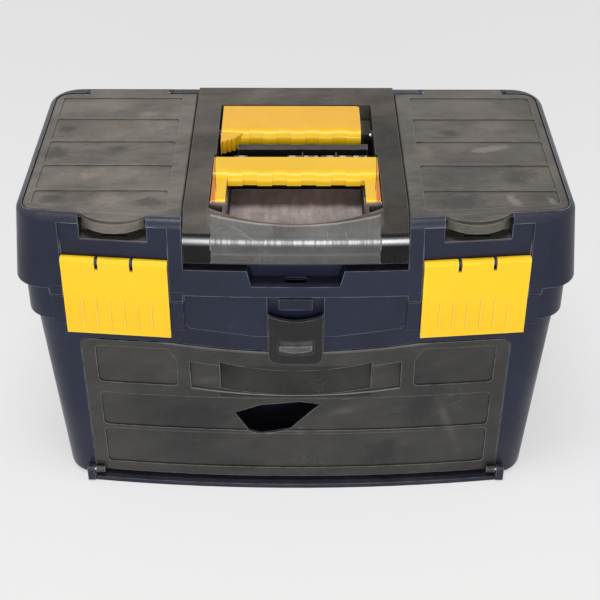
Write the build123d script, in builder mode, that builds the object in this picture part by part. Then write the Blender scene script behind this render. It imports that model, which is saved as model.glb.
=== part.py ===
from build123d import *
import os
from math import sqrt, sin, cos, tan, radians, degrees, atan2

# Tool box with a drop-down front door, a hinged lid with two flap-covered organisers in its top,
# and two folding handles on a raised middle cover. All sizes are in millimetres.
# X runs to the box's right, Y to its back, Z up. The origin is on the floor, under the middle of the box.

# Clearances
flat_gap = 0.3          # between pieces that lie against each other
swing_gap = 0.6         # round a piece that turns or slides past its neighbour
pin_gap = 0.05          # between a hinge pin and its hole, on the radius
wall = 3.0              # moulded wall
over = 1.0              # how far a cut runs past the face it starts from
ahead = -160.0          # an upright plane well in front of the box, where cuts from the front start

# The front bows forward: every front surface is an arc about one upright axis
lid_front = -128.0      # front of the lid at the middle, at its lower edge
bow_radius = 1500.0
bow_axis_y = lid_front + bow_radius
bow_axis = Axis((0, bow_axis_y, 0), (0, 0, 1))

# Tub
tub_half = 209.5        # half width at the floor
tub_front = -112.0      # front at the middle, at the floor
tub_back = 103.0
draft = 3.6             # degrees, how far every wall leans outwards
tub_corner = 26.0
tub_foot_round = 7.0
rim_low = 187.0         # underside of the thick band round the top of the tub
rim_top = 218.7
rim_half = 227.0
rim_front = -126.0
rim_back = 119.0
rim_dip = 9.0           # how much lower the band reaches in the middle of the front
rim_dip_half = 89.0
rim_dip_flat_half = 34.0
rim_dip_start = 2.0     # step in the band's lower edge where the dip begins
floor_thick = 3.5

# Front compartment, door and sill
door_half = 183.0
door_low = 11.0
door_top = 166.8        # at the ends
door_dip = 7.4          # how much lower the top edge is in the middle
door_dip_half = 105.0
door_corner = 9.0       # rounding of the door's top corners
door_thick = 3.0
door_proud = 1.0        # how far the door stands in front of the tub's wall
door_axis_y = -106.0
door_axis_z = 13.0
door_knuckle_r = 3.3
door_knuckle_length = 8.0
door_pin_r = 1.5
niche_back = -53.0      # back wall of the front compartment
niche_floor = 4.6       # low enough for the door's bowed lower edge to swing over
sill_half = 191.0
sill_height = 7.8       # top of the lip along the sill's front
sill_front = -118.0
sill_back = -104.0
sill_lip = 2.0
door_lug_low = 2.0
door_lug_back = -92.0
panel_depth = 1.2       # sunk panels on the door
panel_round = 4.0
side_panel_in = 102.0   # inner edge of the two top panels of the door
side_panel_cut = 7.0    # the slanted upper inner corner of those panels, across
side_panel_cut_drop = 12.0
panel_out = 171.0       # outer edge of all panels of the door
side_panel_low = 119.0
side_panel_high = 160.0
middle_band_low = 68.0
middle_band_high = 106.5
lower_band_low = 22.0
lower_band_high = 64.0
pull_half = 90.5        # sunk pull in the middle of the door, deepest at its top
pull_low = 117.3        # at the ends
pull_low_dip = 6.6      # how much lower its lower edge is in the middle
pull_high = 147.2
pull_high_dip = 8.7
pull_lip = 0.8          # depth at the lower edge
pull_depth = 4.5
slot_half = 65.0        # deeper finger slot in the middle of the pull
slot_depth = 15.0
break_left = -53.4      # corners of the hole broken through the door, each with its height
break_left_z = 88.2
break_shoulder = -31.6
break_shoulder_z = 97.7
break_peak = 4.0
break_peak_z = 102.0
break_tip = 21.3
break_tip_z = 98.9
break_side = -5.6
break_side_z = 68.9
break_bottom = -30.9
break_bottom_z = 63.6
break_foot = -41.7
break_foot_z = 67.4

# Door latch, a slide in front of the door's top edge
catch_half = 22.8
catch_low = 153.6
catch_low_dip = 2.0     # how far its lower edge dips in the middle
catch_top = 201.7
catch_smile = 6.0       # how far its top edge dips in the middle
catch_front = -129.6
catch_back = -123.3     # of the thick lower part, which lies on the door
catch_upper_back = -126.3
catch_step = 158.0      # top of the thick lower part
catch_round = 7.0
catch_bay_back = -119.5
catch_rest_half = 14.0  # block in the bay above the latch
catch_rest_low = 203.0
catch_rest_high = 213.5
catch_rest_front = -122.6
window_half = 13.8
window_low = 165.6
window_low_dip = 3.1
window_high = 175.2
window_high_dip = 1.5
window_depth = 2.4
window_frame = 1.6      # width of the sunk frame round the window
window_frame_depth = 0.5
insert_high = 169.9
insert_high_dip = 0.4
insert_sunk = 1.0

# Lid
lid_half = 234.6        # at the lower edge
lid_back = 128.0
lid_low = 219.0
lid_top = 288.0
lid_top_half = 228.0
lid_top_front = -124.0
lid_top_back = 123.0
lid_corner = 28.0
lid_top_round = 8.5
lid_foot = 12.0         # width of the flange that sits on the tub's rim
lid_foot_thick = 3.0
seat_top = 283.0        # level that the flaps lie on
lid_roof = 278.0        # underside of the lid's top

# Organisers in the lid, one each side
bay_in = 97.0
bay_out = 217.0
bay_front = -88.0
bay_back = 106.0
bay_floor = 236.0
bay_round = 8.0
bay_ribs = 2            # cross walls in each organiser
bay_rib_thick = 2.0
bay_rib_top = 276.0

# Flaps over the organisers
flap_in = 91.8
flap_out = 222.0
flap_front = -116.5
flap_back = 108.0
flap_round = 14.0
flap_edge_bevel = 1.2
flap_panel_in = 105.0
flap_panel_out = 215.0
flap_panel_depth = 0.9
flap_panel_first = -70.5   # first groove between two sunk panels
flap_panel_pitch = 42.8
flap_panel_count = 5
flap_panel_rib = 3.0
flap_panel_round = 3.0
flap_panel_margin = 8.0
flap_axis_y = 115.2
flap_barrel_r = 3.2
flap_barrel_in = 119.0
flap_barrel_out = 192.0
flap_pin_r = 1.5
flap_lug = 3.4
flap_back_gap = 1.2     # behind the flap, so that its back edge can turn up
flap_web = 4.0
tab_in = 121.0
tab_out = 173.0
tab_bulge = 13.0
tab_low = 277.0
tab_drop = 1.0          # how far the tab's top lies below the flap's
tab_step = 3.2
tab_root = 5.0          # how far the tab reaches back under its flap's front edge
tab_room = 1.5          # room beside the tab
grip_notch_floor = 267.0
grip_notch_back = -100.0
grip_slot_length = 22.0
grip_slot_width = 4.4
grip_slot_y = -107.5
grip_slot_round = 1.0

# Yellow latches, one each side
latch_x = 148.0
latch_half = 44.0
latch_front = -129.0    # outer face, carried to the latch along the bow
latch_low = 177.0
latch_thick = 3.0
latch_barrel_r = 4.0
latch_axis_z = 247.0
latch_reach = -20.0     # in front of the latch, where cuts for it start
latch_backing_depth = 16.0
latch_pin_r = 1.5
latch_pin_short = 1.0   # how far each end of the pin stops inside the latch
latch_pocket = 3.5      # depth of the pocket in the lid behind the latch
latch_pocket_top = 281.0
latch_slit_x = 14.5
latch_slit_width = 3.0
latch_slit_low = 240.5
latch_lug = 2.2
latch_lug_r = 3.0
latch_rib_count = 6
latch_rib_low = 184.0
latch_rib_high = 212.0
latch_rib_pitch = 11.5
latch_rib_width = 1.4
latch_rib_deep = 0.6
rim_pocket = 5.0
column_width = 11.0     # uprights each side of a latch
column_low = 213.0
column_deep = 4.0

# Hasp place in the middle of the lid's front
ledge_top = 243.5
ledge_back = -110.0
hasp_half_top = 40.0
hasp_half_low = 36.0
hasp_floor = 229.0
hasp_back = -110.5
hasp_slot_half = 10.0
hasp_slot_deep = 9.0
hasp_slot_y = -116.5
hasp_slot_round = 4.0

# Middle cover
cover_half = 90.8
cover_front = -127.0    # upright front of the nose
cover_back = 120.5
cover_slope_back = -100.0   # where the top begins to slope down to the nose
cover_slope_round = 30.0
cover_slope_low = 274.5     # height at which the slope would meet the front
cover_nose_r = 12.0
cover_nose_low = 250.5
cover_skirt_low = 243.8
cover_wall = 2.6
scoop_half = 56.8
scoop_front = -113.2
scoop_side_front = -102.0
scoop_floor = 254.0
scoop_lip = 280.0
scoop_lip_y = -124.0
scoop_middle_y = -97.0
scoop_middle = 262.5
scoop_floor_front = -63.0
channel_half = 70.6     # half width of the well that the handles fold into
channel_front = -87.6
channel_floor = 273.6
apron_middle = 280.7    # shallow dished place in front of the channel, down to the nose
apron_side = 285.1
front_well_back = -10.0
pit_back = 57.0
pit_half = 68.5
pit_floor = 250.0
ledge_well_back = 85.0
ledge_well_floor = 272.0
rear_boss_r = 5.0
rear_boss_stand = 1.4
bare_pin_stand = 1.5    # how far the pin of the missing right leg stands out of its boss

# Front handle
handle_half = 69.8
handle_leg = 12.0
handle_top = 289.0
handle_bottom = 278.0
handle_axis_y = -79.0
handle_axis_z = 279.5
handle_eye_r = 5.5
handle_leg_top = 284.0  # of each leg where it meets the grip
handle_pin_r = 2.0
handle_pin_short = 1.0  # how far each pin stops inside its leg
grip_front = -46.0
grip_back = -14.6
grip_round = 8.5
grip_edge_round = 3.0
wave_width = 12.4
wave_count = 5
wave_depth = 1.5
first_wave_x = -57.2

# Rear handle, with its right leg and the front of its left leg broken away
rear_left = -66.0
rear_right = 56.0
rear_front = 30.0
rear_back = 82.5
rear_bottom = 276.5
rear_axis_y = 40.0
rear_axis_z = 280.0
rear_leg = 12.0
rear_stub_front = 12.5  # of the torn leg's outer tooth
torn_leg_drop = 2.0
torn_teeth = 4
torn_pitch = 4.0        # width of each tooth of the torn end
torn_rise = 2.5         # how far back each tooth stands behind the one before
torn_tooth = 1.3        # how deep each notch is
torn_peak = 0.4         # where along a tooth its notch begins
torn_shoulder = 19.0    # width of the stump where it meets the grip
torn_root = 12.0        # how far the stump runs into the grip
rear_pin_r = 2.0
rear_eye_drop = 5.2
rear_first_wave_x = -54.0

# Bit rack between the handles, and the steel bits lying in it
rack_left = -51.0
rack_shelf_left = -57.0
rack_shelf_back = 10.0  # of the shelf's part beside the torn leg
rack_right = 63.0
rack_front = -8.8
rack_back = 21.0
rack_shelf = 272.0
rack_bar_front = 12.0
rack_bar_top = 281.0
rack_wall = 2.5
rack_divider = 1.2
rack_divider_gap = 0.6  # between a bit's end and the divider beside it
bit_across = 6.35
bit_y = 2.8
bit_shank = 12.0
bit_neck_r = 2.2
long_bit_start = -54.0
long_bit_end = 4.6
twist_bit_start = 7.2
twist_bit_end = 34.0
short_bit_start = 36.6
short_bit_end = 62.0

# Lid hinges at the back
hinge_axis_y = 133.5
hinge_axis_z = 216.0
hinge_barrel_r = 5.0
hinge_x = 120.0
hinge_half = 25.0
hinge_lug = 10.0
hinge_web = 16.0        # height of the web that carries each hinge eye
hinge_pin_r = 2.5

lean = tan(radians(draft))


def bowed(front, x):
    """Y of a front surface x away from the middle, when it stands at front in the middle."""
    reach = bow_axis_y - front
    return bow_axis_y - sqrt(reach**2 - x**2)


def bowed_outline(half, front, back, corner):
    """Plan outline with a bowed front, straight sides and back, and round corners."""
    corner_y = bowed(front, half)
    with BuildSketch() as outline:
        with BuildLine():
            Polyline((half, corner_y), (half, back), (-half, back), (-half, corner_y))
            ThreePointArc((-half, corner_y), (0, front), (half, corner_y))
        make_face()
        fillet(outline.vertices(), corner)
    return outline.sketch


def bowed_body(low_z, low_outline, high_z, high_outline):
    """Solid between two plan outlines, with straight leaning walls."""
    with BuildPart() as body:
        with BuildSketch(Plane.XY.offset(low_z)):
            add(low_outline)
        with BuildSketch(Plane.XY.offset(high_z)):
            add(high_outline)
        loft(ruled=True)
    return body.part


def side_face(points):
    """Profile drawn on the side as (y, z) points."""
    with BuildSketch() as profile:
        with BuildLine():
            Polyline(points, close=True)
        make_face()
    return profile.sketch


def bowed_band(profile, left, right):
    """Band that follows the bow: a side profile turned about the bow's axis, from left to right."""
    reach = max(abs(left), abs(right)) + wall
    nearest = bow_axis_y - profile.bounding_box().max.X
    angle = atan2(reach, sqrt(nearest**2 - reach**2))
    start = Plane(
        origin=(-bow_axis_y * sin(angle), bow_axis_y * (1 - cos(angle)), 0),
        x_dir=(sin(angle), cos(angle), 0),
        z_dir=(cos(angle), -sin(angle), 0),
    )
    with BuildPart() as band:
        with BuildSketch(start):
            add(profile)
        revolve(axis=bow_axis, revolution_arc=2 * degrees(angle))
        with BuildSketch(Plane.XY):
            with Locations(((left + right) / 2, 0)):
                Rectangle(right - left, 2 * bow_radius)
        extrude(amount=2 * lid_top, both=True, mode=Mode.INTERSECT)
    return band.part


def front_block(outline, near, far):
    """Block whose outline is a sketch drawn on the front, running from y near to y far."""
    with BuildPart() as block:
        with BuildSketch(Plane.XZ.offset(-near)):
            add(outline)
        extrude(amount=near - far)
    return block.part


def front_shape(corners, rounding, near, far):
    """Block whose outline is drawn on the front as (x, z) points, running from y near to y far."""
    with BuildSketch() as outline:
        with BuildLine():
            Polyline(corners, close=True)
        make_face()
        if rounding > 0:
            fillet(outline.vertices(), rounding)
    return front_block(outline.sketch, near, far)


def dipped_outline(half, low, high, rounding):
    """Front outline of the door: its top edge dips along an arc, and its top corners are round."""
    with BuildSketch() as outline:
        with BuildLine():
            Polyline((-door_dip_half, high), (-half, high), (-half, low),
                     (half, low), (half, high), (door_dip_half, high))
            ThreePointArc((door_dip_half, high), (0, high - door_dip), (-door_dip_half, high))
        make_face()
        highest = outline.vertices().group_by(Axis.Y)[-1].sort_by(Axis.X)
        fillet([highest[0], highest[-1]], rounding)
    return outline.sketch


def smile_outline(half, low, low_dip, high, high_dip, rounding=0.0):
    """Front outline with straight ends, whose lower and upper edges dip along arcs in the middle."""
    with BuildSketch() as outline:
        with BuildLine():
            Line((-half, high), (-half, low))
            ThreePointArc((-half, low), (0, low - low_dip), (half, low))
            Line((half, low), (half, high))
            ThreePointArc((half, high), (0, high - high_dip), (-half, high))
        make_face()
        if rounding > 0:
            fillet(outline.vertices().group_by(Axis.Y)[0], rounding)
    return outline.sketch


def rectangle_corners(left, right, low, high):
    return [(left, low), (right, low), (right, high), (left, high)]


def upright_block(left, right, front, back, low, high, rounding=0.0):
    """Box given by its limits, with its upright edges rounded."""
    with BuildPart() as block:
        with BuildSketch(Plane.XY.offset(low)) as outline:
            with Locations(((left + right) / 2, (front + back) / 2)):
                Rectangle(right - left, back - front)
            if rounding > 0:
                fillet(outline.vertices(), rounding)
        extrude(amount=high - low)
    return block.part


def rod(x_from, x_to, y, z, radius):
    """Round bar along X."""
    with BuildPart() as bar:
        with BuildSketch(Plane.YZ.offset(x_from)):
            with Locations((y, z)):
                Circle(radius)
        extrude(amount=x_to - x_from)
    return bar.part


def side_shape(points, x_from, x_to):
    """Block whose outline is drawn on the side as (y, z) points, running along X."""
    with BuildPart() as block:
        with BuildSketch(Plane.YZ.offset(x_from)):
            add(side_face(points))
        extrude(amount=x_to - x_from)
    return block.part


def wall_front(z):
    """Front of the tub's leaning wall in the middle, at height z."""
    return tub_front - lean * z


def wall_outline(z, inset):
    """Plan outline of the tub's wall at height z, moved inwards by inset."""
    grow = lean * z - inset
    return bowed_outline(tub_half + grow, tub_front - grow, tub_back + grow, tub_corner)


# Tub
door_opening = dipped_outline(
    door_half + swing_gap, niche_floor, door_top + swing_gap, door_corner + swing_gap,
)
niche = front_block(door_opening, ahead, niche_back)
niche_room = upright_block(
    -door_half - swing_gap - wall, door_half + swing_gap + wall,
    ahead, niche_back + wall, 0, door_top + swing_gap + wall,
)
tub_wall = bowed_body(0, wall_outline(0, 0), rim_low + wall, wall_outline(rim_low + wall, 0))
rim_outline = bowed_outline(rim_half, rim_front, rim_back, tub_corner)
rim_band = bowed_body(rim_low, rim_outline, rim_top, rim_outline)
well_room = bowed_body(
    floor_thick, wall_outline(floor_thick, wall), rim_top + over, wall_outline(rim_top + over, wall),
)
dip_profile = [
    (rim_front, rim_low - rim_dip), (rim_front + wall, rim_low - rim_dip),
    (rim_front + wall, rim_low + over), (rim_front, rim_low + over),
]
rim_drop = bowed_band(side_face(dip_profile), -rim_dip_half, rim_dip_half)
rim_drop_shape = front_shape(
    [(-rim_dip_half, rim_low + over), (-rim_dip_half, rim_low - rim_dip_start),
     (-rim_dip_flat_half, rim_low - rim_dip), (rim_dip_flat_half, rim_low - rim_dip),
     (rim_dip_half, rim_low - rim_dip_start), (rim_dip_half, rim_low + over)],
    0, ahead, tub_front,
)
sill_profile = [
    (sill_front, 0), (sill_back, 0), (sill_back, niche_floor),
    (sill_front + sill_lip, niche_floor), (sill_front + sill_lip, sill_height),
    (sill_front, sill_height),
]
sill = bowed_band(side_face(sill_profile), -sill_half, sill_half)
latch_turn = degrees(atan2(latch_x, bow_radius))
latch_y = bowed(latch_front, latch_x)
latch_axis_y = latch_barrel_r     # behind the latch's outer face


def latch_plane(side):
    """Plane whose X runs along the latch, its Y into the box and its Z up, on the latch's outer face."""
    turn = radians(latch_turn)
    return Plane(
        origin=(side * latch_x, latch_y, 0),
        x_dir=(cos(turn), side * sin(turn), 0),
        z_dir=(0, 0, 1),
    )


def latch_block(side, middle, half, front, back, low, high):
    """Block in a latch's own frame, half wide each side of middle."""
    with BuildPart() as block:
        with BuildSketch(latch_plane(side).offset(low)):
            with Locations((middle, (front + back) / 2)):
                Rectangle(2 * half, back - front)
        extrude(amount=high - low)
    return block.part


def latch_rod(side, x_from, x_to, radius):
    """Round bar on a latch's hinge axis, in the latch's own frame."""
    base = latch_plane(side)
    start = base.from_local_coords((x_from, latch_axis_y, latch_axis_z))
    with BuildPart() as bar:
        with BuildSketch(Plane(origin=start, x_dir=base.y_dir, z_dir=base.x_dir)):
            Circle(radius)
        extrude(amount=x_to - x_from)
    return bar.part


column_places = (
    latch_x - latch_half - column_width / 2 - swing_gap,
    latch_x + latch_half + column_width / 2 + swing_gap,
)
column_profile = [
    (lid_front, column_low), (lid_front + column_deep, column_low),
    (lid_front + column_deep, lid_low + wall), (lid_front, lid_low + wall),
]
catch_bay = upright_block(
    -catch_half - swing_gap, catch_half + swing_gap, ahead, catch_bay_back,
    door_top - door_dip, rim_top + over,
)
catch_backing = upright_block(
    -catch_half - swing_gap - wall, catch_half + swing_gap + wall, ahead, catch_bay_back + wall,
    door_top - door_dip, rim_top,
)
catch_rest = upright_block(
    -catch_rest_half, catch_rest_half, catch_rest_front, catch_bay_back + over,
    catch_rest_low, catch_rest_high,
)
hinge_lug_outline = [
    (rim_back - over, rim_top - hinge_web), (rim_back - over, rim_top - flat_gap),
    (hinge_axis_y - hinge_barrel_r, hinge_axis_z + over), (hinge_axis_y, hinge_axis_z),
    (hinge_axis_y, hinge_axis_z - hinge_barrel_r),
]

with BuildPart() as tub:
    add(tub_wall)
    fillet(tub.edges().group_by(Axis.Z)[0], tub_foot_round)
    add(rim_band)
    add(rim_drop.intersect(rim_drop_shape))
    add(well_room - niche_room - catch_backing, mode=Mode.SUBTRACT)
    add(sill)
    add(niche, mode=Mode.SUBTRACT)
    add(catch_bay, mode=Mode.SUBTRACT)
    add(catch_rest)
    for side in (-1, 1):
        pocket = latch_block(
            side, 0, latch_half + swing_gap, latch_reach, latch_thick + rim_pocket,
            rim_low - rim_dip, rim_top + over,
        )
        add(pocket - tub_wall, mode=Mode.SUBTRACT)
        for column_x in column_places:
            notch_half = column_width / 2 + swing_gap
            notch_back = bowed(lid_front, column_x + notch_half) + column_deep + swing_gap
            notch = upright_block(
                side * column_x - notch_half, side * column_x + notch_half,
                ahead, notch_back, column_low - swing_gap, rim_top + over,
            )
            add(notch, mode=Mode.SUBTRACT)
        lug_near = side * (door_half + 2 * swing_gap)
        lug_far = side * sill_half
        lug_left = min(lug_near, lug_far)
        lug_right = max(lug_near, lug_far)
        add(side_shape(
            [(door_axis_y - door_knuckle_r, door_lug_low), (door_lug_back, door_lug_low),
             (door_lug_back, door_axis_z + door_knuckle_r), (door_axis_y - door_knuckle_r, door_axis_z)],
            lug_left, lug_right))
        add(rod(lug_left, lug_right, door_axis_y, door_axis_z, door_knuckle_r))
        add(rod(lug_left - over, lug_right + over, door_axis_y, door_axis_z, door_pin_r + pin_gap),
            mode=Mode.SUBTRACT)
        for end in (-1, 1):
            lug_middle = side * hinge_x + end * (hinge_half - hinge_lug / 2)
            add(side_shape(hinge_lug_outline, lug_middle - hinge_lug / 2, lug_middle + hinge_lug / 2))
            add(rod(lug_middle - hinge_lug / 2, lug_middle + hinge_lug / 2,
                    hinge_axis_y, hinge_axis_z, hinge_barrel_r))
        add(rod(side * hinge_x - hinge_half - over, side * hinge_x + hinge_half + over,
                hinge_axis_y, hinge_axis_z, hinge_pin_r + pin_gap), mode=Mode.SUBTRACT)


# Lid
lid_low_outline = bowed_outline(lid_half, lid_front, lid_back, lid_corner)
lid_top_outline = bowed_outline(lid_top_half, lid_top_front, lid_top_back, lid_corner)


def lid_share(z):
    """How far up the lid's leaning wall height z is, from 0 at its foot to 1 at its top."""
    return (z - lid_low) / (lid_top - lid_low)


def lid_wall_front(z):
    """Front of the lid's leaning wall in the middle, at height z."""
    return lid_front + (lid_top_front - lid_front) * lid_share(z)


def lid_inner_outline(z, inset):
    """Plan outline of the lid's wall at height z, moved inwards by inset."""
    share = lid_share(z)
    return bowed_outline(
        lid_half + (lid_top_half - lid_half) * share - inset,
        lid_wall_front(z) + inset,
        lid_back + (lid_top_back - lid_back) * share - inset,
        lid_corner - inset,
    )


def mirrored_blocks(left, right, front, back, low, high, rounding=0.0):
    """The same upright block on both sides of the box."""
    pair = []
    for side in (-1, 1):
        ends = sorted((side * left, side * right))
        pair.append(upright_block(ends[0], ends[1], front, back, low, high, rounding))
    return pair


def flap_outline(side, grow, lip):
    """Plan outline of a flap: straight back and sides, bowed front; lip moves the back edge."""
    inner = side * (flap_in - grow)
    outer = side * (flap_out + grow)
    front = flap_front - grow
    middle = (flap_in + flap_out) / 2
    with BuildSketch() as outline:
        with BuildLine():
            Polyline(
                (inner, bowed(front, inner)), (inner, flap_back + lip),
                (outer, flap_back + lip), (outer, bowed(front, outer)),
            )
            ThreePointArc(
                (outer, bowed(front, outer)), (side * middle, bowed(front, middle)),
                (inner, bowed(front, inner)),
            )
        make_face()
        fillet(outline.vertices().sort_by(Axis.X, reverse=side > 0)[:2], flap_round)
    return outline.sketch


def flat_body(outline, low, high):
    """Plate with the given plan outline."""
    with BuildPart() as plate:
        with BuildSketch(Plane.XY.offset(low)):
            add(outline)
        extrude(amount=high - low)
    return plate.part


lid_inside = bowed_body(
    lid_low + lid_foot_thick, lid_inner_outline(lid_low + lid_foot_thick, wall),
    lid_roof, lid_inner_outline(lid_roof, wall),
)
lid_mouth_outline = bowed_outline(
    lid_half - lid_foot, lid_front + lid_foot, lid_back - lid_foot, lid_corner - lid_foot,
)
lid_mouth = flat_body(lid_mouth_outline, lid_low - over, lid_low + lid_foot_thick)
bay_walls = mirrored_blocks(
    bay_in - wall, bay_out + wall, bay_front - wall, bay_back + wall, bay_floor - wall, lid_top,
)
beam = upright_block(
    -cover_half - swing_gap - wall, cover_half + swing_gap + wall,
    lid_front, lid_back, ledge_top - wall, lid_top,
)
hasp_backing = upright_block(
    -hasp_half_top - wall, hasp_half_top + wall, lid_front, hasp_back + wall,
    hasp_floor - wall, ledge_top,
)
channel_room = upright_block(
    -cover_half - swing_gap, cover_half + swing_gap, ledge_back, cover_back + swing_gap,
    ledge_top, lid_top + over,
)
front_ledge_room = upright_block(
    -cover_half - swing_gap, cover_half + swing_gap, ahead, ledge_back + over,
    ledge_top, lid_top + over,
)
hasp_room = front_shape(
    [(-hasp_half_top, ledge_top + over), (-hasp_half_low, hasp_floor),
     (hasp_half_low, hasp_floor), (hasp_half_top, ledge_top + over)],
    0, ahead, hasp_back,
)
tab_recess_rooms = mirrored_blocks(
    tab_in - tab_room, tab_out + tab_room, ahead, grip_notch_back, grip_notch_floor, lid_top + over,
)
tab_recess_backing = mirrored_blocks(
    tab_in - tab_room - wall, tab_out + tab_room + wall, lid_front, grip_notch_back + wall,
    grip_notch_floor - wall, lid_top,
)
hinge_notch_backing = mirrored_blocks(
    flap_barrel_in - flap_lug - 2 * swing_gap - wall, flap_barrel_out + flap_lug + 2 * swing_gap + wall,
    flap_back - over, lid_top_back, seat_top - flap_barrel_r - wall, lid_top,
)
hinge_notch_rooms = mirrored_blocks(
    flap_barrel_in - flap_lug - 2 * swing_gap, flap_barrel_out + flap_lug + 2 * swing_gap,
    flap_back - over, flap_axis_y + flap_barrel_r + swing_gap, seat_top - flap_barrel_r, lid_top + over,
)
flap_axis_z = lid_top - flap_barrel_r
knuckle_web = [
    (lid_back - wall, lid_low), (hinge_axis_y - hinge_barrel_r, hinge_axis_z),
    (hinge_axis_y, hinge_axis_z), (hinge_axis_y, hinge_axis_z + hinge_barrel_r),
    (lid_back - wall, lid_low + hinge_web),
]

with BuildPart() as lid:
    add(bowed_body(lid_low, lid_low_outline, lid_top, lid_top_outline))
    fillet(lid.edges().group_by(Axis.Z)[-1], lid_top_round)
    kept = bay_walls + tab_recess_backing + hinge_notch_backing + [beam, hasp_backing]
    hollow = lid_inside
    for piece in kept:
        hollow = hollow - piece
    for side in (-1, 1):
        hollow = hollow - latch_block(
            side, 0, latch_half, 0, latch_backing_depth,
            latch_slit_low - 2 * latch_barrel_r, latch_pocket_top,
        )
    add(hollow, mode=Mode.SUBTRACT)
    add(lid_mouth, mode=Mode.SUBTRACT)
    add(mirrored_blocks(bay_in, bay_out, bay_front, bay_back, bay_floor, lid_top + over, bay_round),
        mode=Mode.SUBTRACT)
    for rib in range(bay_ribs):
        rib_y = bay_front + (bay_back - bay_front) * (rib + 1) / (bay_ribs + 1)
        add(mirrored_blocks(bay_in - over, bay_out + over, rib_y - bay_rib_thick / 2,
                            rib_y + bay_rib_thick / 2, bay_floor - over, bay_rib_top))
    add(channel_room, mode=Mode.SUBTRACT)
    add(front_ledge_room, mode=Mode.SUBTRACT)
    add(hasp_room, mode=Mode.SUBTRACT)
    add(upright_block(-hasp_slot_half, hasp_slot_half, hasp_slot_y - hasp_slot_deep / 2,
                      hasp_slot_y + hasp_slot_deep / 2, lid_low - over, hasp_floor + over, hasp_slot_round),
        mode=Mode.SUBTRACT)
    add(tab_recess_rooms, mode=Mode.SUBTRACT)
    for side in (-1, 1):
        flap_seat = flat_body(flap_outline(side, swing_gap, flap_back_gap), seat_top, lid_top + over)
        add(flap_seat, mode=Mode.SUBTRACT)
        slot_left = side * (tab_in + tab_out) / 2 - grip_slot_length / 2
        add(upright_block(slot_left, slot_left + grip_slot_length, grip_slot_y - grip_slot_width / 2,
                          grip_slot_y + grip_slot_width / 2, grip_notch_floor - 2 * wall,
                          grip_notch_floor + over, grip_slot_round), mode=Mode.SUBTRACT)
        add(latch_block(side, 0, latch_half + swing_gap, latch_reach, latch_thick + latch_pocket,
                        lid_low - over, latch_pocket_top), mode=Mode.SUBTRACT)
        add(latch_rod(side, -latch_half - swing_gap, latch_half + swing_gap,
                      latch_barrel_r + swing_gap), mode=Mode.SUBTRACT)
        for slit in (-1, 1):
            add(latch_block(side, slit * latch_slit_x, latch_lug / 2, latch_axis_y,
                            latch_backing_depth, latch_axis_z - latch_lug_r,
                            latch_axis_z + latch_lug_r))
            add(latch_rod(side, slit * latch_slit_x - latch_lug / 2,
                          slit * latch_slit_x + latch_lug / 2, latch_lug_r))
        add(latch_rod(side, -latch_half - over, latch_half + over, latch_pin_r + pin_gap),
            mode=Mode.SUBTRACT)
        for column_x in column_places:
            ends = sorted((side * column_x - column_width / 2, side * column_x + column_width / 2))
            add(bowed_band(side_face(column_profile), ends[0], ends[1]))
    add(hinge_notch_rooms, mode=Mode.SUBTRACT)
    for side in (-1, 1):
        for lug_start in (flap_barrel_in - swing_gap - flap_lug, flap_barrel_out + swing_gap):
            ends = sorted((side * lug_start, side * (lug_start + flap_lug)))
            add(rod(ends[0], ends[1], flap_axis_y, flap_axis_z, flap_barrel_r))
            add(side_shape(
                [(flap_axis_y - flap_barrel_r, flap_axis_z), (flap_axis_y + flap_barrel_r, flap_axis_z),
                 (flap_axis_y + flap_barrel_r, seat_top - flap_barrel_r - over),
                 (flap_axis_y - flap_barrel_r, seat_top - flap_barrel_r - over)], ends[0], ends[1]))
        pin_ends = sorted((side * (flap_barrel_in - swing_gap - flap_lug - over),
                           side * (flap_barrel_out + swing_gap + flap_lug + over)))
        add(rod(pin_ends[0], pin_ends[1], flap_axis_y, flap_axis_z, flap_pin_r + pin_gap),
            mode=Mode.SUBTRACT)
        knuckle_half = hinge_half - hinge_lug - swing_gap
        add(side_shape(knuckle_web, side * hinge_x - knuckle_half, side * hinge_x + knuckle_half))
        add(rod(side * hinge_x - knuckle_half, side * hinge_x + knuckle_half,
                hinge_axis_y, hinge_axis_z, hinge_barrel_r))
        add(rod(side * hinge_x - hinge_half, side * hinge_x + hinge_half,
                hinge_axis_y, hinge_axis_z, hinge_pin_r + pin_gap), mode=Mode.SUBTRACT)


# Flaps
def flap_panel(side, near, far):
    """Sunk panel between near and far, as a plan outline."""
    ends = sorted((side * flap_panel_in, side * flap_panel_out))
    with BuildSketch() as panel:
        with Locations(((ends[0] + ends[1]) / 2, (near + far) / 2)):
            Rectangle(ends[1] - ends[0], far - near)
        fillet(panel.vertices(), flap_panel_round)
    return panel.sketch


def front_flap_panel(side, far):
    """Front sunk panel, whose front edge follows the bow."""
    near = flap_front + flap_panel_margin
    inner = side * flap_panel_in
    outer = side * flap_panel_out
    middle = (inner + outer) / 2
    with BuildSketch() as panel:
        with BuildLine():
            Polyline((inner, bowed(near, inner)), (inner, far), (outer, far), (outer, bowed(near, outer)))
            ThreePointArc(
                (outer, bowed(near, outer)), (middle, bowed(near, middle)), (inner, bowed(near, inner)),
            )
        make_face()
        fillet(panel.vertices(), flap_panel_round)
    return panel.sketch


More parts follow.
